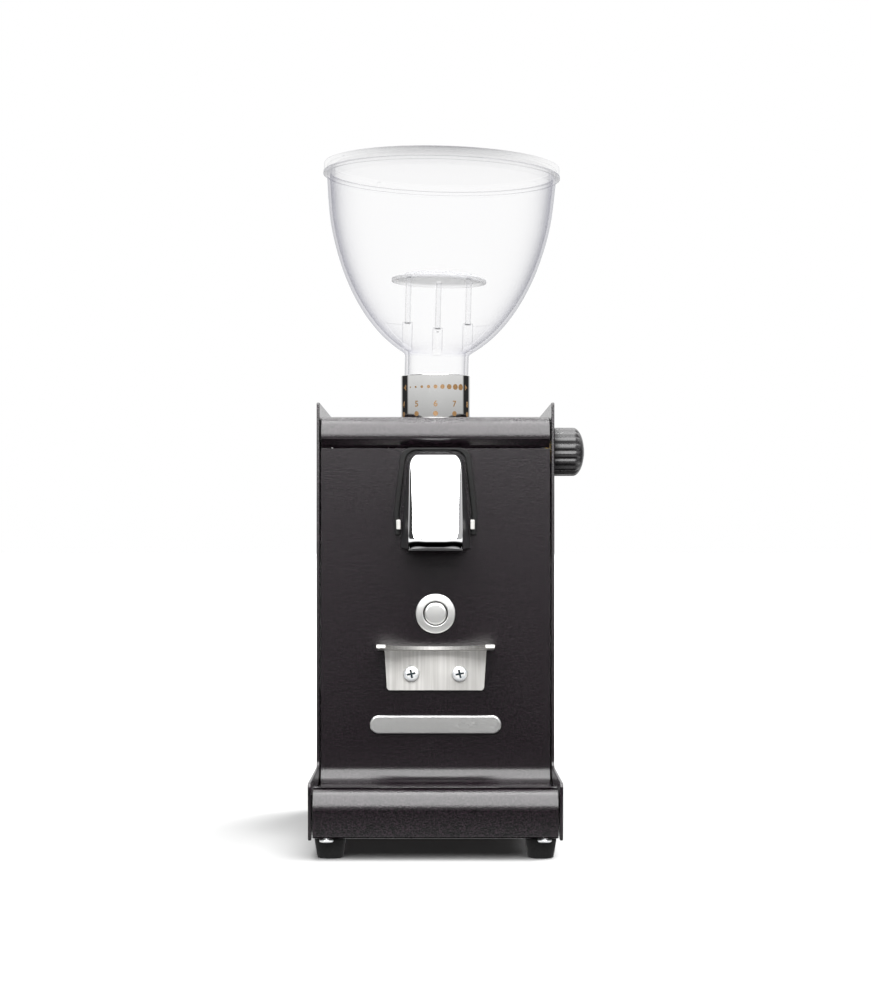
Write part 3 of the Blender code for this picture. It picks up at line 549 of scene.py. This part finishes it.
def front_panel():
    """Upright face, fillet, tray, rolled lip, lip face and hem, bent from one sheet."""
    outside = [(PANEL_FACE, PANEL_TOP), (PANEL_FACE, TRAY_Z), (LIP_FRONT + 17.5, TRAY_Z),
               (LIP_FRONT + 12.6, LIP_TOP), (LIP_FRONT, LIP_TOP),
               (LIP_FRONT + 1.4, HEM_Z), (LIP_FRONT + 14, HEM_Z)]
    path = fillet(outside, (0, 8.6, 3, 2.5, 11, 1.4, 0), steps=14)
    panel = bent_sheet("front_panel_sheet", path)
    before, behind = PANEL_FACE - 3, PANEL_FACE + 5
    cuts = [hole("Y", (0, SWITCH_Z), 9.5, before, behind)]
    cuts += [hole("Y", (side * FORK_SCREW[0], FORK_SCREW[1]), 2.3, before, behind, 24)
             for side in (-1, 1)]
    cuts += [box("window", (-14.3, before, 170.7), (14.3, PANEL_FACE + 4, 198.3))]
    combine(panel, cuts)
    soften(panel, 0.4)
    return fit(panel, "casing", "front_panel")


def top_cover():
    """Rounded nose over the front panel, flat top with the collar's hole, folded back edge."""
    outside = [(BODY_BACK - 2.6, COVER_Z - 12), (BODY_BACK - 2.6, COVER_Z), (-76.5, COVER_Z),
               (-76.5, COVER_Z - 12.2), (-72.3, PANEL_TOP + 0.2)]
    path = fillet(outside, (0, 3, 11, 2.5, 0), steps=16)
    cover = bent_sheet("top_cover_sheet", path)
    combine(cover, [hole("Z", (0, 0), COLLAR_R + 0.75, COVER_Z - 4, COVER_Z + 3, 96)])
    soften(cover, 0.28)
    return fit(cover, "casing", "top_cover")


def rear_panel():
    """Flat sheet with a row of vents and the cord gland's hole."""
    panel = box("rear_panel_sheet", REAR_LOW, REAR_HIGH, "powder_coat")
    before, behind = BODY_BACK - 4, BODY_BACK + 1
    cuts = [hole("Y", gland_center(), 6.5, before, behind)]
    vents, pitch, lowest, vent_high = 9, 9, 75, 3.6
    for i in range(vents):
        z = lowest + pitch * i
        outline = fillet(box_outline((-32, z), (32, z + vent_high)), (1.7,) * 4, steps=6, closed=True)
        cuts.append(prism("slot", outline, "Y", before, behind, "black_plastic"))
    combine(panel, cuts)
    soften(panel, 0.25, 2)
    return fit(panel, "casing", "rear_panel")


def gland_center():
    return ((GLAND_LOW.x + GLAND_HIGH.x) / 2, (GLAND_LOW.z + GLAND_HIGH.z) / 2)


def cord_gland():
    """Strain relief with a grooved cone, its bore open."""
    x, z = gland_center()
    inside = GLAND_LOW.y
    end = GLAND_HIGH.y
    cone = []
    ribs = 4
    start = BODY_BACK + 3.5
    for k in range(ribs):
        at = start + (end - 0.8 - start) * k / ribs
        radius = 8.2 - 3.0 * k / ribs
        cone += [(radius, at), (radius - 0.2, at + 1.2), (radius - 1.1, at + 1.3),
                 (radius - 1.2, at + 1.9)]
    profile = [(6.2, inside), (3.6, inside), (3.6, end - 0.4), (4.0, end), (4.8, end), (5.2, end - 0.6)]
    profile += cone[::-1]
    seat = BODY_BACK - 1 + GAP
    profile += [(9.0, BODY_BACK + 3.2), (9.5, BODY_BACK + 2.6), (9.5, seat), (6.2, seat)]
    gland = turned("cord_gland_relief", profile, "black_plastic", 64, axis="Y", center=(x, 0, z))
    return fit(gland, "casing", "cord_gland")


def feet():
    """Tapered rubber pads with a hollow in the sole."""
    for row in ("front", "rear"):
        for side in ("left", "right"):
            node = f"foot_{row}_{side}"
            low, high = local(node)
            center = ((low.x + high.x) / 2, (low.y + high.y) / 2, 0)
            top = high.z
            wide = (high.x - low.x) / 2
            profile = [(0, 1.5), (4.4, 1.5), (4.5, 1.3), (4.5, 0.2), (4.7, 0.0), (6.0, 0.0), (6.5, 0.2),
                       (6.75, 0.7), (wide - 0.1, top - 1.3), (wide, top - 0.9),
                       (wide - 0.15, top - 0.3), (wide - 0.6, top), (0, top)]
            foot = turned(f"{node}_pad", profile, "rubber", 64, center=center)
            fit(foot, "casing", node)


def cross_screw(node, axis, body="casing"):
    """Pan head with a cross-shaped hollow whose faces take a dark bluish colour, painted shade; the head
    stands out towards -Y or down.
    """
    low, high = local(node)
    i = "XYZ".index(axis)
    center = [(low[k] + high[k]) / 2 for k in range(3)]
    radius = (high.x - low.x) / 2 * 1.06
    height = 0.45 * radius
    center[i] = low[i] + height
    length = high[i] - center[i]
    shank = radius * 0.5
    dome = [(radius * 0.95, 0.0), (radius, -height * 0.12), (radius, -height * 0.5),
            (radius * 0.96, -height * 0.70), (radius * 0.84, -height * 0.87),
            (radius * 0.6, -height * 0.96), (0, -height)]
    profile = [(0, length), (radius * 0.45, length), (shank, length - 0.4), (shank, 0), *dome]
    screw = turned(f"{node}_head", profile, "zinc", 48, axis=axis, center=tuple(center))
    arm = radius * 0.58
    wide = radius * 0.12
    cuts = []
    # The cuts hand their dark colour to the hollow's faces as painted shade.
    for turn in (12, 102):
        deep = [(-arm, -height - 1), (arm, -height - 1), (arm * 0.92, -height * 0.6),
                (arm * 0.35, height * 0.1), (-arm * 0.35, height * 0.1), (-arm * 0.92, -height * 0.6)]
        angle = math.radians(turn)
        points = []
        for across in (-wide, wide):
            for u, v in deep:
                a = u * math.cos(angle) - across * math.sin(angle)
                b = u * math.sin(angle) + across * math.cos(angle)
                spot = (a, v, b) if axis == "Y" else (a, b, v)
                points.append(tuple(c + p for c, p in zip(center, spot)))
        cuts.append(mesh_object("cross", points, prism_faces(len(deep)), "painted_cross_shade"))
    combine(screw, cuts, smooth_angle=28)
    return fit(screw, body, node)


# ---------------------------------------------------------------- front fittings

def chute_path(steps=8, straight=4):
    """Centre line of the chute's front from its foot over the shoulder to the panel."""
    foot_point = Vector(CHUTE_FOOT)
    shoulder = Vector(CHUTE_SHOULDER)
    top = Vector(CHUTE_TOP)
    knee = shoulder + (shoulder - foot_point).normalized() * 11.5
    path = [tuple(foot_point.lerp(shoulder, k / straight)) for k in range(straight)]
    for i in range(steps + 1):
        t = i / steps
        point = shoulder * (1 - t) ** 2 + knee * 2 * t * (1 - t) + top * t ** 2
        path.append(tuple(point))
    return path


def inward_offset(path, distance):
    """The path moved towards the inside of the chute."""
    outline = strip(path, -distance)
    return outline[len(path):][::-1]


def chute_cover():
    """Bright pillowed sheet, its edges turned back, tucked in at the foot and arched at the top."""
    steps = 24
    straight = 20
    path = chute_path(steps, straight)
    depth = 3.2
    across = 16
    inward = [Vector(q) - Vector(p) for p, q in zip(path, inward_offset(path, 1.0))]
    rows = []
    for i, (point, normal) in enumerate(zip(path, inward)):
        t = max(0.0, (i - straight) / steps)
        low = max(0.0, 1 - i / straight)
        half = CHUTE_HALF_W * (1 - 0.6 * (1 - math.sqrt(1 - 0.999 * t ** 3)))
        edge_w = 2.6 + 7.0 * low ** 1.6
        edge_d = 2.6
        flat = half - edge_w
        tuck = 3.2 * max(0.0, 1 - i / (straight * 0.25)) ** 2
        edge = [(-half, depth)]
        edge += [(-flat - edge_w * math.cos(a), edge_d - edge_d * math.sin(a))
                 for a in (math.pi / 2 * k / 10 for k in range(11))]
        middle = [(-flat + 2 * flat * k / across, 0.0) for k in range(1, across)]
        row = edge + middle + [(-x, d) for x, d in edge[::-1]]
        rows.append([(x, point[0] + normal.x * (d + tuck), point[1] + normal.y * d) for x, d in row])
    count = len(rows[0])
    points = [p for row in rows for p in row]
    faces = []
    for s in range(len(rows) - 1):
        for i in range(s * count, (s + 1) * count - 1):
            faces.append((i, i + 1, i + count + 1, i + count))
    cover = mesh_object("chute_cover_shell", points, faces, "chrome", 60, closed=False)
    modifier = cover.modifiers.new("thickness", "SOLIDIFY")
    modifier.thickness = 0.9 * MM
    modifier.offset = -1
    modifier.use_even_offset = True
    bake_modifiers(cover, 50)
    soften(cover, 0.3, 3, 50)
    return fit(cover, "casing", "chute_cover")


def chute_arch(y, half_bottom, half_top, bottom, top, corner):
    """Arch section parallel to the front panel."""
    outline = [(-half_bottom, bottom), (half_bottom, bottom), (half_top, top), (-half_top, top)]
    rounded = fillet(outline, (0.5, 0.5, corner, corner), steps=10, closed=True)
    return [(x, y, z) for x, z in rounded]


def chute_body():
    """Black chute: flared arch on the panel, core under the bright cover, duct back to the burrs."""
    under = inward_offset(chute_path(16), 4.6)
    slope = [p for p in under if p[0] < -80]
    start = PANEL_FACE - GAP
    sections = []
    stations = [(start, 211.4), *reversed(slope)]
    tip = stations[-1][0]
    for y, z in stations:
        t = (start - y) / (start - tip)
        half_bottom = CHUTE_HALF_W - 0.4 + 4.9 * (1 - t) ** 2.2
        half_top = CHUTE_HALF_W - 0.6 + 0.9 * (1 - t) ** 2
        bottom = 158.2 + 1.2 * (1 - t)
        top = max(z, bottom + 2.5)
        corner = 1.0 + 6.5 * (1 - t)
        corner = min(corner, (top - bottom) * 0.4)
        sections.append(chute_arch(y, half_bottom, half_top, bottom, top, corner))
    body = loft("chute_body_moulding", sections, "black_plastic", 40)
    core = strip(inward_offset(chute_path(16)[1:15], 1.25), -6.0)
    inner_end = local("chute_body")[1].y
    duct = box("duct", (-14, inner_end, 171), (14, start - 3, 198))
    combine(body, [prism("core", core, "X", -12.5, 12.5, "black_plastic"), duct], "UNION", 40)
    bore = [(inner_end + 5, 173), (-90, 173), (-92, 150), (-106.5, 150), (-106.5, 163), (-92, 196),
            (inner_end + 5, 196)]
    combine(body, [prism("bore", bore, "X", -11.6, 11.6, "black_plastic")], smooth_angle=40)
    return fit(body, "casing", "chute_body")


def chute_surround():
    """Black rubber band around the arch, flat on the panel, standing where the panel's opening round the
    chute shows only a dark gap: its black is painted shade.
    """
    def arch(grow):
        return fillet([(-18.9 - grow, 166.5), (-19.6 - grow, 178), (-15.6 - grow, 212.6 + grow * 0.5),
                       (15.6 + grow, 212.6 + grow * 0.5), (19.6 + grow, 178), (18.9 + grow, 166.5)],
                      (0, 8, 6.5, 6.5, 8, 0), steps=12)
    outline = arch(3.2) + arch(0.3)[::-1]
    # painted shade: a black strip in place of the dark gap round the chute
    band = prism("chute_gap_shade_band", outline, "Y", PANEL_FACE - GAP - 2.4, PANEL_FACE - GAP, "rubber")
    soften(band, 0.7, 4)
    return fit(band, "casing", "chute_surround")


def chute_clips():
    for side in ("left", "right"):
        low, high = local(f"chute_clip_{side}")
        outline = fillet(box_outline((low.x, low.z), (high.x, high.z)), (0.5,) * 4, steps=5, closed=True)
        clip = prism(f"chute_clip_{side}_tab", outline, "Y", low.y, high.y, "brushed_steel")
        soften(clip, 0.2, 3)
        fit(clip, "casing", f"chute_clip_{side}")


def portafilter_fork():
    """Bent plate: upright screwed to the panel, shelf above it with a round bite between two prongs."""
    back = PANEL_FACE - GAP
    path = fillet([(back, 81.7), (back, 105.0), (back - 34, 108.0)], (0, 2.2, 0), steps=10)
    fork = prism("portafilter_fork_plate", strip(path, 1.8), "X", -31.5, 31.5, "brushed_steel")
    cuts = [prism("bite", circle(27, 96, (0, back - 38.5)), "Z", 98, 115, "brushed_steel")]
    for side in (-1, 1):
        corner = arc((side * 24.4, 83.7), 2.2, 270, 270 + side * 87, 8)
        wedge = [(side * 24.4, 78), *corner, (side * 27.75, 102.6), (side * 28.1, 103.8),
                 (side * 29.0, 104.4), (side * 40, 104.4), (side * 40, 78)]
        cuts.append(prism("side", wedge, "Y", back - 6, back + 3, "brushed_steel"))
        cuts.append(hole("Y", (side * FORK_SCREW[0], FORK_SCREW[1]), 2.3, back - 5, back + 3, 32))
    combine(fork, cuts)
    soften(fork, 0.3, 3)
    return fit(fork, "casing", "portafilter_fork")


def badge():
    """Plain bright bar with round ends and a soft rim."""
    radius = (BADGE_HIGH.z - BADGE_LOW.z) / 2
    middle = (BADGE_HIGH.z + BADGE_LOW.z) / 2
    half = BADGE_HIGH.x - radius
    outline = arc((half, middle), radius, -90, 90, 24) + arc((-half, middle), radius, 90, 270, 24)
    bar = prism("badge_bar", outline, "Y", BADGE_LOW.y, BADGE_HIGH.y, "satin_steel")
    soften(bar, 0.9, 5)
    return fit(bar, "casing", "badge")


def push_switch():
    """Bezel and cap of the round push button."""
    face = PANEL_FACE - GAP
    center = (0, 0, SWITCH_Z)
    bezel = [(9.2, face + 16), (9.2, face), (10.7, face), (10.9, face - 0.2), (10.9, face - 1.3),
             (10.7, face - 1.8), (10.3, face - 2.0), (7.2, face - 2.25), (6.85, face - 2.15),
             (6.6, face - 1.8), (6.5, face - 1.5), (6.5, face + 16)]
    bezel_ring = turned("switch_bezel_ring", bezel, "satin_steel", 96, axis="Y", center=center)
    even_normals(bezel_ring)
    fit(bezel_ring, "casing", "switch_bezel")
    cap = [(0, face - 2.9), (4.6, face - 2.9), (5.5, face - 2.8), (6.0, face - 2.5), (6.15, face - 2.0),
           (6.15, face + 3), (3.0, face + 3.4), (3.0, face + 12), (0, face + 12)]
    button = turned("push_button_cap", cap, "satin_steel", 96, axis="Y", center=center)
    even_normals(button)
    return fit(button, "button", "push_button")


# ---------------------------------------------------------------- collar and knob

def collar():
    """Bright collar with its hub, and the worm wheel under the cover."""
    rows = [(COLLAR_BORE, 204.4), (25.6, 204.4), (26, 204.8), (26, 220.0), (25.6, 220.4),
            (COLLAR_R + 1.4, 221.6), (COLLAR_R, 223.4), (COLLAR_R, COLLAR_TOP - 0.5),
            (COLLAR_R - 0.15, COLLAR_TOP - 0.15), (COLLAR_R - 0.4, COLLAR_TOP),
            (COLLAR_BORE + 0.3, COLLAR_TOP), (COLLAR_BORE, COLLAR_TOP - 0.3)]
    ring = turned("adjusting_collar", rows, "collar_finish", 128)
    combine(ring, [worm_wheel()], "UNION")
    even_normals(ring)
    return fit(ring, "collar", "adjusting_ring")


def worm_wheel():
    """Slanted teeth that match the worm's lead."""
    low, high = 208.0, 219.0
    lead_angle = math.atan(AXIAL_PITCH / (math.tau * WORM_PITCH_R))
    skew = math.tan(lead_angle) / WHEEL_PITCH_R
    tooth = ((-0.3, 28.4), (-0.13, 31.0), (0.13, 31.0), (0.3, 28.4))
    middle = KNOB_AXIS[1]
    sections = []
    for z in (low, high):
        turn = skew * (z - middle)
        outer = []
        for k in range(WHEEL_TEETH):
            for part, radius in tooth:
                angle = math.tau * (k + part) / WHEEL_TEETH + turn - math.pi / 2
                outer.append((radius * math.cos(angle), radius * math.sin(angle), z))
        sections.append(outer)
    wheel = loft("wheel", sections, "collar_finish")
    return combine(wheel, [hole("Z", (0, 0), 24.0, low - 3, high + 3, 64)])


def wrap_print(name, source, angle, z, size):
    """Lay a flat mesh in (x, y) millimetres round the collar, centred on an angle from the front."""
    mesh = source.data
    for vertex in mesh.vertices:
        radius = COLLAR_R + (0.06 if vertex.co.z > 0 else -0.04)
        turn = math.radians(angle) + vertex.co.x * size / COLLAR_R
        place = Vector((radius * math.sin(turn), -radius * math.cos(turn), z + vertex.co.y * size))
        vertex.co = place * MM + AXIS
    mesh.materials.clear()
    mesh.materials.append(MATERIALS["gold_print"])
    mesh.update()
    source.name = name
    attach(source, "collar")
    return source


def text_mesh(body):
    """A flat, slightly thick mesh of a number, one unit high and centred."""
    curve = bpy.data.curves.new("number", "FONT")
    curve.body = body
    curve.align_x = "CENTER"
    curve.align_y = "CENTER"
    curve.size = 1.38
    curve.extrude = 0.01
    curve.resolution_u = 4
    curve.offset = 0.035
    obj = bpy.data.objects.new("number", curve)
    bpy.context.scene.collection.objects.link(obj)
    depsgraph = bpy.context.evaluated_depsgraph_get()
    mesh = bpy.data.meshes.new_from_object(obj.evaluated_get(depsgraph))
    bpy.data.objects.remove(obj, do_unlink=True)
    result = bpy.data.objects.new("number", mesh)
    bpy.context.scene.collection.objects.link(result)
    return result


def flat_mesh(outline):
    """A thin plate in (x, y), from an outline in millimetres, not yet placed."""
    points = [(x, y, -0.01) for x, y in outline] + [(x, y, 0.01) for x, y in outline]
    near, far, *sides = prism_faces(len(outline))
    mesh = bpy.data.meshes.new("print")
    mesh.from_pydata(points, [], [near[::-1], far[::-1], *sides])
    obj = bpy.data.objects.new("print", mesh)
    bpy.context.scene.collection.objects.link(obj)
    return obj


def collar_prints():
    """Numbers with dots below them, and a row of growing grains between two arrows."""
    numbers, number_z, dot_z = 11, 241.6, 236.1
    grains, grain_step, grain_z = 9, 11.5, 251.4
    dot = circle(1.0, 20)
    for k in range(1, numbers + 1):
        angle = (k - 6) * 360 / numbers
        wrap_print(f"collar_number_{k}", text_mesh(str(k)), angle, number_z, 3.4)
        wrap_print(f"collar_dot_{k}", flat_mesh(dot), angle, dot_z, 1.45)
    for turn in (0, 180):
        for k in range(grains):
            angle = turn - 46 + grain_step * k
            wrap_print(f"collar_grain_{turn}_{k}", flat_mesh(dot), angle, grain_z, 0.45 + 0.17 * k)
        for side in (-1, 1):
            arrow = flat_mesh([(-1.1 * side, -1.7), (1.5 * side, 0.0), (-1.1 * side, 1.7)][::side])
            wrap_print(f"collar_arrow_{turn}_{side}", arrow, turn + side * 61, grain_z, 1.0)


def knob():
    """Fluted knob with a domed end."""
    flutes = 18
    y, z = KNOB_AXIS
    tip = KNOB_HIGH.x
    back = KNOB_LOW.x

    def fluted(radius, angle, height):
        if radius < 11.5 or height > tip - 3.4:
            return radius
        groove = 0.5 + 0.5 * math.cos(flutes * angle)
        depth = 0.95 if radius > 12.4 else 0.5
        return radius - depth * groove ** 2.5

    profile = [(0, 75.4), (3.3, 75.4), (3.3, back), (12.2, back), (12.9, back + 0.2),
               (KNOB_R - 0.2, back + 0.6), (KNOB_R, back + 1.2), (KNOB_R, back + 6), (KNOB_R, tip - 6.3),
               (KNOB_R - 0.15, tip - 5.4), (KNOB_R - 0.5, tip - 4.6), (12.3, tip - 3.7),
               (11.2, tip - 2.8), (9.6, tip - 1.9), (7.6, tip - 1.1), (5.0, tip - 0.5),
               (2.5, tip - 0.12), (0, tip)]
    piece = turned("adjusting_knob_grip", profile, "knob_plastic", flutes * 12, axis="X",
                   center=(0, y, z), shape=fluted, smooth_angle=40)
    return fit(piece, "worm_drive", "adjusting_knob")


# ---------------------------------------------------------------- hopper

def turn_about(obj, point, angle, axis):
    """Turn a piece's mesh about a point of the row frame."""
    rotation = Matrix.Rotation(angle, 4, axis)
    obj.data.transform(Matrix.Translation(point) @ rotation @ Matrix.Translation(-point))
    return obj


def lean(obj):
    """Turn an upright piece onto the hopper's own axis, about the neck's seat."""
    return turn_about(obj, Vector((0, 0, SEAT_Z)) * MM + AXIS, HOPPER_LEAN, "Y")


def spin(obj, degrees):
    """Turn a piece about the burr axis."""
    return turn_about(obj, AXIS, math.radians(degrees), "Z")


def bowl_radius(z):
    """The bowl's outer radius at a height."""
    curve = smooth_curve(BOWL, 6)
    for (z0, r0), (z1, r1) in zip(curve, curve[1:]):
        if z <= z1:
            return r0 + (r1 - r0) * (z - z0) / (z1 - z0)
    return BOWL[-1][1]


def hopper():
    """Clear bowl and neck, with three sockets for the bean guard braced by gussets."""
    curve = smooth_curve(BOWL, 6)
    outer = [(NECK_R, SEAT_Z), (NECK_R, 270.2), (NECK_R + 0.5, 271.5)]
    outer += [(r, z) for z, r in curve]
    inner = []
    for z, r in curve:
        low = 1 - min(1.0, max(0.0, (z - 283) / 50))
        low = low * low * (3 - 2 * low)
        inner.append((r - WALL * (1 + 0.15 * low), z + low))
    inner[-1] = (inner[-1][0], RIM_Z - 0.3)
    bore = NECK_R - 1.8
    rim = [(67.9, 373.5), (68.4, 373.8), (68.5, 374.4), (68.4, RIM_Z - 0.3), (68.0, RIM_Z),
           (inner[-1][0] + 0.3, RIM_Z)]
    neck = [(NECK_R - 1.6, 272.6), (bore, 270.6), (bore, SEAT_Z)]
    profile = outer + rim + inner[::-1] + neck
    bowl = turned("hopper_shell", profile[::-1], "clear_plastic", 144)
    combine(bowl, [part for angle in SOCKET_ANGLES for part in guard_socket(angle)], "UNION")
    lean(bowl)
    bowl.visible_shadow = False
    return fit(bowl, "hopper_bowl", "hopper")


def guard_socket(angle):
    """Blind socket and its gusset, turned to its place around the hopper's axis."""
    sits = 272.6
    top = 288.6
    outside = bowl_radius(top) - 0.8
    profile = [(0, 287.6), (1.95, 287.6), (1.95, top), (2.9, top), (2.95, sits), (0, sits)]
    socket = turned("socket", profile, "clear_plastic", 40, center=(SOCKET_R, 0, 0))
    web = [(SOCKET_R + 2.5, 275.5), (bowl_radius(276) - 0.8, 276), (outside, top - 1.5),
           (SOCKET_R + 2.5, top - 1.5)]
    gusset = prism("gusset", web, "Y", -0.7, 0.7, "clear_plastic")
    return [spin(socket, angle), spin(gusset, angle)]


def hopper_lid():
    """Flat lid with a notched skirt on the rim and a locating ring inside the bowl."""
    under = LID_TOP - 1.8
    low = RIM_Z + 0.5
    ring_low = 371.5
    disc = [(0, LID_TOP), (LID_R - 1.2, LID_TOP), (LID_R - 0.5, LID_TOP - 0.25),
            (LID_R - 0.1, LID_TOP - 0.7), (LID_R, LID_TOP - 1.2)]
    skirt = [(LID_R, low), (66.5, low), (66.5, under - 0.4), (66.1, under)]
    ring = [(64.3, under), (63.9, under - 0.4), (63.9, ring_low + 0.2), (63.7, ring_low),
            (62.7, ring_low), (62.5, ring_low + 0.2), (62.5, under - 0.4), (62.1, under), (0, under)]
    profile = disc + skirt + ring
    lid = turned("hopper_lid_disc", profile, "lid_plastic", 144)
    cuts = []
    for k in range(4):
        outline = fillet([(-1.3, low - 2), (1.3, low - 2), (1.3, low + 3.0), (-1.3, low + 3.0)],
                         (0, 0, 1.25, 1.25), steps=5, closed=True)
        cuts.append(spin(prism("notch", outline, "Y", -70.5, -64.8, "clear_plastic"), 34 + 90 * k))
    combine(lid, cuts)
    lean(lid)
    lid.visible_shadow = False
    return fit(lid, "lid", "hopper_lid")


def bean_guard():
    """Frosted dome on three legs that stand in the hopper's sockets."""
    edge, apex, radius = 312.8, 319.7, 27.4
    rise = apex - edge - 2.0
    sphere = (radius ** 2 + rise ** 2) / (2 * rise)
    steps = 14
    top = []
    for i in range(steps + 1):
        r = (radius - 0.4) * i / steps
        top.append((r, apex - sphere + math.sqrt(sphere ** 2 - r ** 2)))
    rim = [(radius, top[-1][1] - 0.5), (radius, edge + 0.3), (radius - 0.3, edge), (radius - 1.4, edge)]
    under = [(r, z - 1.6) for r, z in top[::-1] if r < radius - 1.6]
    guard = turned("bean_guard_dome", top + rim + under, "frosted_plastic", 96)
    legs = [spin(prism("leg", circle(1.6, 24, (SOCKET_R, 0)), "Z", 288.0, 317, "frosted_plastic"), angle)
            for angle in SOCKET_ANGLES]
    combine(guard, legs, "UNION")
    lean(guard)
    guard.visible_shadow = False
    return fit(guard, "guard", "bean_guard")


# ---------------------------------------------------------------- carried-over nodes

def finish_cad_nodes():
    """Nodes whose CAD shape stays get the finish that the record's slot names."""
    for entry in frame["record"]["subparts"]:
        slot = entry["material_slot"]
        materials = frame["nodes"][entry["node"]].data.materials
        materials.clear()
        materials.append(MATERIALS["collar_finish" if slot == "gloss_black" else slot])


# ---------------------------------------------------------------- studio

def camera():
    data = bpy.data.cameras.new("camera")
    data.lens = LENS
    data.sensor_width = 36.0
    data.shift_y = SHIFT_Y
    data.clip_end = 50.0
    obj = bpy.data.objects.new("camera", data)
    obj.location = Vector(CAMERA_AT) * MM + AXIS
    obj.rotation_euler = (math.radians(90), 0, 0)
    bpy.context.scene.collection.objects.link(obj)
    bpy.context.scene.camera = obj


def floor():
    """Plain pale floor, wide enough to meet the white backdrop, and whiter where less light falls."""
    near, far = (0.37, 0.37, 0.37), (1.0, 1.0, 1.0)
    half = 30.0
    corners = [(x, y, 0) for x, y in box_outline((-half, -half), (half, half))]
    mesh = bpy.data.meshes.new("floor")
    mesh.from_pydata(corners, [], [(0, 1, 2, 3)])
    obj = bpy.data.objects.new("floor", mesh)
    mat, tree, shader = new_material("floor", near, 0.9, Specular_IOR_Level=0.0)
    coords = tree.nodes.new("ShaderNodeTexCoord")
    away = tree.nodes.new("ShaderNodeVectorMath")
    away.operation = "LENGTH"
    tree.links.new(coords.outputs["Object"], away.inputs[0])
    reach = span(tree, away.outputs["Value"], 0.0, 1.0, 0.25, 1.1)
    tree.links.new(ramp(tree, reach, ((0.0, near), (1.0, far))), shader.inputs["Base Color"])
    mesh.materials.append(mat)
    bpy.context.scene.collection.objects.link(obj)
    obj.visible_glossy = False
    obj.visible_diffuse = False
    obj.visible_shadow = False


def area_light(name, location, aim, size, power):
    data = bpy.data.lights.new(name, "AREA")
    data.shape = "RECTANGLE"
    data.size, data.size_y = size
    data.energy = power
    obj = bpy.data.objects.new(name, data)
    obj.location = location
    obj.rotation_euler = (Vector(aim) - Vector(location)).to_track_quat("-Z", "Y").to_euler()
    bpy.context.scene.collection.objects.link(obj)


def world():
    """White to the eye.

    Reflections see a low white wall in front, a grey card high on the right, a sky behind that
    brightens upwards, the white backdrop, the table below, and a dim room elsewhere.
    """
    scene_world = bpy.data.worlds.new("studio")
    bpy.context.scene.world = scene_world
    scene_world.use_nodes = True
    tree = scene_world.node_tree
    tree.nodes.clear()
    coords = tree.nodes.new("ShaderNodeTexCoord")
    split = tree.nodes.new("ShaderNodeSeparateXYZ")
    tree.links.new(coords.outputs["Generated"], split.inputs[0])
    x, y, z = (split.outputs[axis] for axis in "XYZ")
    path = tree.nodes.new("ShaderNodeLightPath")
    room = span(tree, z, 0.0, 0.05, -0.05, 0.1)
    wall = math_node(tree, "MULTIPLY", span(tree, z, 0.0, 1.3, 0.025, 0.085),
                     span(tree, z, 1.0, 0.0, 0.16, 0.22), span(tree, y, 1.0, 0.0, 0.20, 0.34))
    card = math_node(tree, "MULTIPLY", span(tree, z, 0.0, 0.5, 0.10, 0.20),
                     span(tree, x, 0.0, 1.0, 0.40, 0.55))
    sky = math_node(tree, "MULTIPLY", math_node(tree, "POWER", z, 2.0), 4.5)
    sky = math_node(tree, "MULTIPLY", math_node(tree, "ADD", sky, 0.5),
                    span(tree, y, 0.0, 1.0, 0.0, 0.2), span(tree, z, 0.0, 1.0, 0.12, 0.25),
                    path.outputs["Is Glossy Ray"])
    backdrop = span(tree, y, 0.0, 1.0, 0.78, 0.90)
    table = math_node(tree, "MULTIPLY", span(tree, z, 0.0, 1.3, -0.8, -0.7),
                      span(tree, z, 1.0, 0.0, -0.33, -0.2))
    strength = math_node(tree, "MAXIMUM", room, wall, card, sky, backdrop, table,
                         path.outputs["Is Camera Ray"])
    background = tree.nodes.new("ShaderNodeBackground")
    background.inputs["Color"].default_value = (1.0, 1.0, 1.0, 1.0)
    tree.links.new(strength, background.inputs["Strength"])
    output = tree.nodes.new("ShaderNodeOutputWorld")
    tree.links.new(background.outputs[0], output.inputs["Surface"])


def soft_sun(name, degrees, angle, energy):
    """Broad sunlight that shows on matt surfaces but not as a reflection."""
    sun = bpy.data.lights.new(name, "SUN")
    sun.energy = energy
    sun.angle = math.radians(angle)
    obj = bpy.data.objects.new(name, sun)
    obj.rotation_euler = [math.radians(value) for value in degrees]
    obj.visible_glossy = False
    bpy.context.scene.collection.objects.link(obj)


def studio():
    bpy.context.scene.view_settings.view_transform = "Standard"
    camera()
    floor()
    world()
    aim = (AXIS.x, AXIS.y - 0.28, 0.234)
    area_light("overhead", (AXIS.x, AXIS.y - 0.615, 0.85), aim, (1.2, 1.67), 52)
    soft_sun("side_sun", (-40, 42, 0), 40, 7.5)


finish_cad_nodes()
side_plate(-1, "left_side_panel")
side_plate(1, "right_side_panel")
front_panel()
top_cover()
rear_panel()
cord_gland()
feet()
for row in ("front", "rear"):
    for hand in ("left", "right"):
        cross_screw(f"base_screw_{row}_{hand}", "Z")
for hand in ("left", "right"):
    cross_screw(f"fork_screw_{hand}", "Y")
chute_body()
chute_cover()
chute_surround()
chute_clips()
portafilter_fork()
badge()
push_switch()
collar()
collar_prints()
knob()
hopper()
hopper_lid()
bean_guard()
studio()
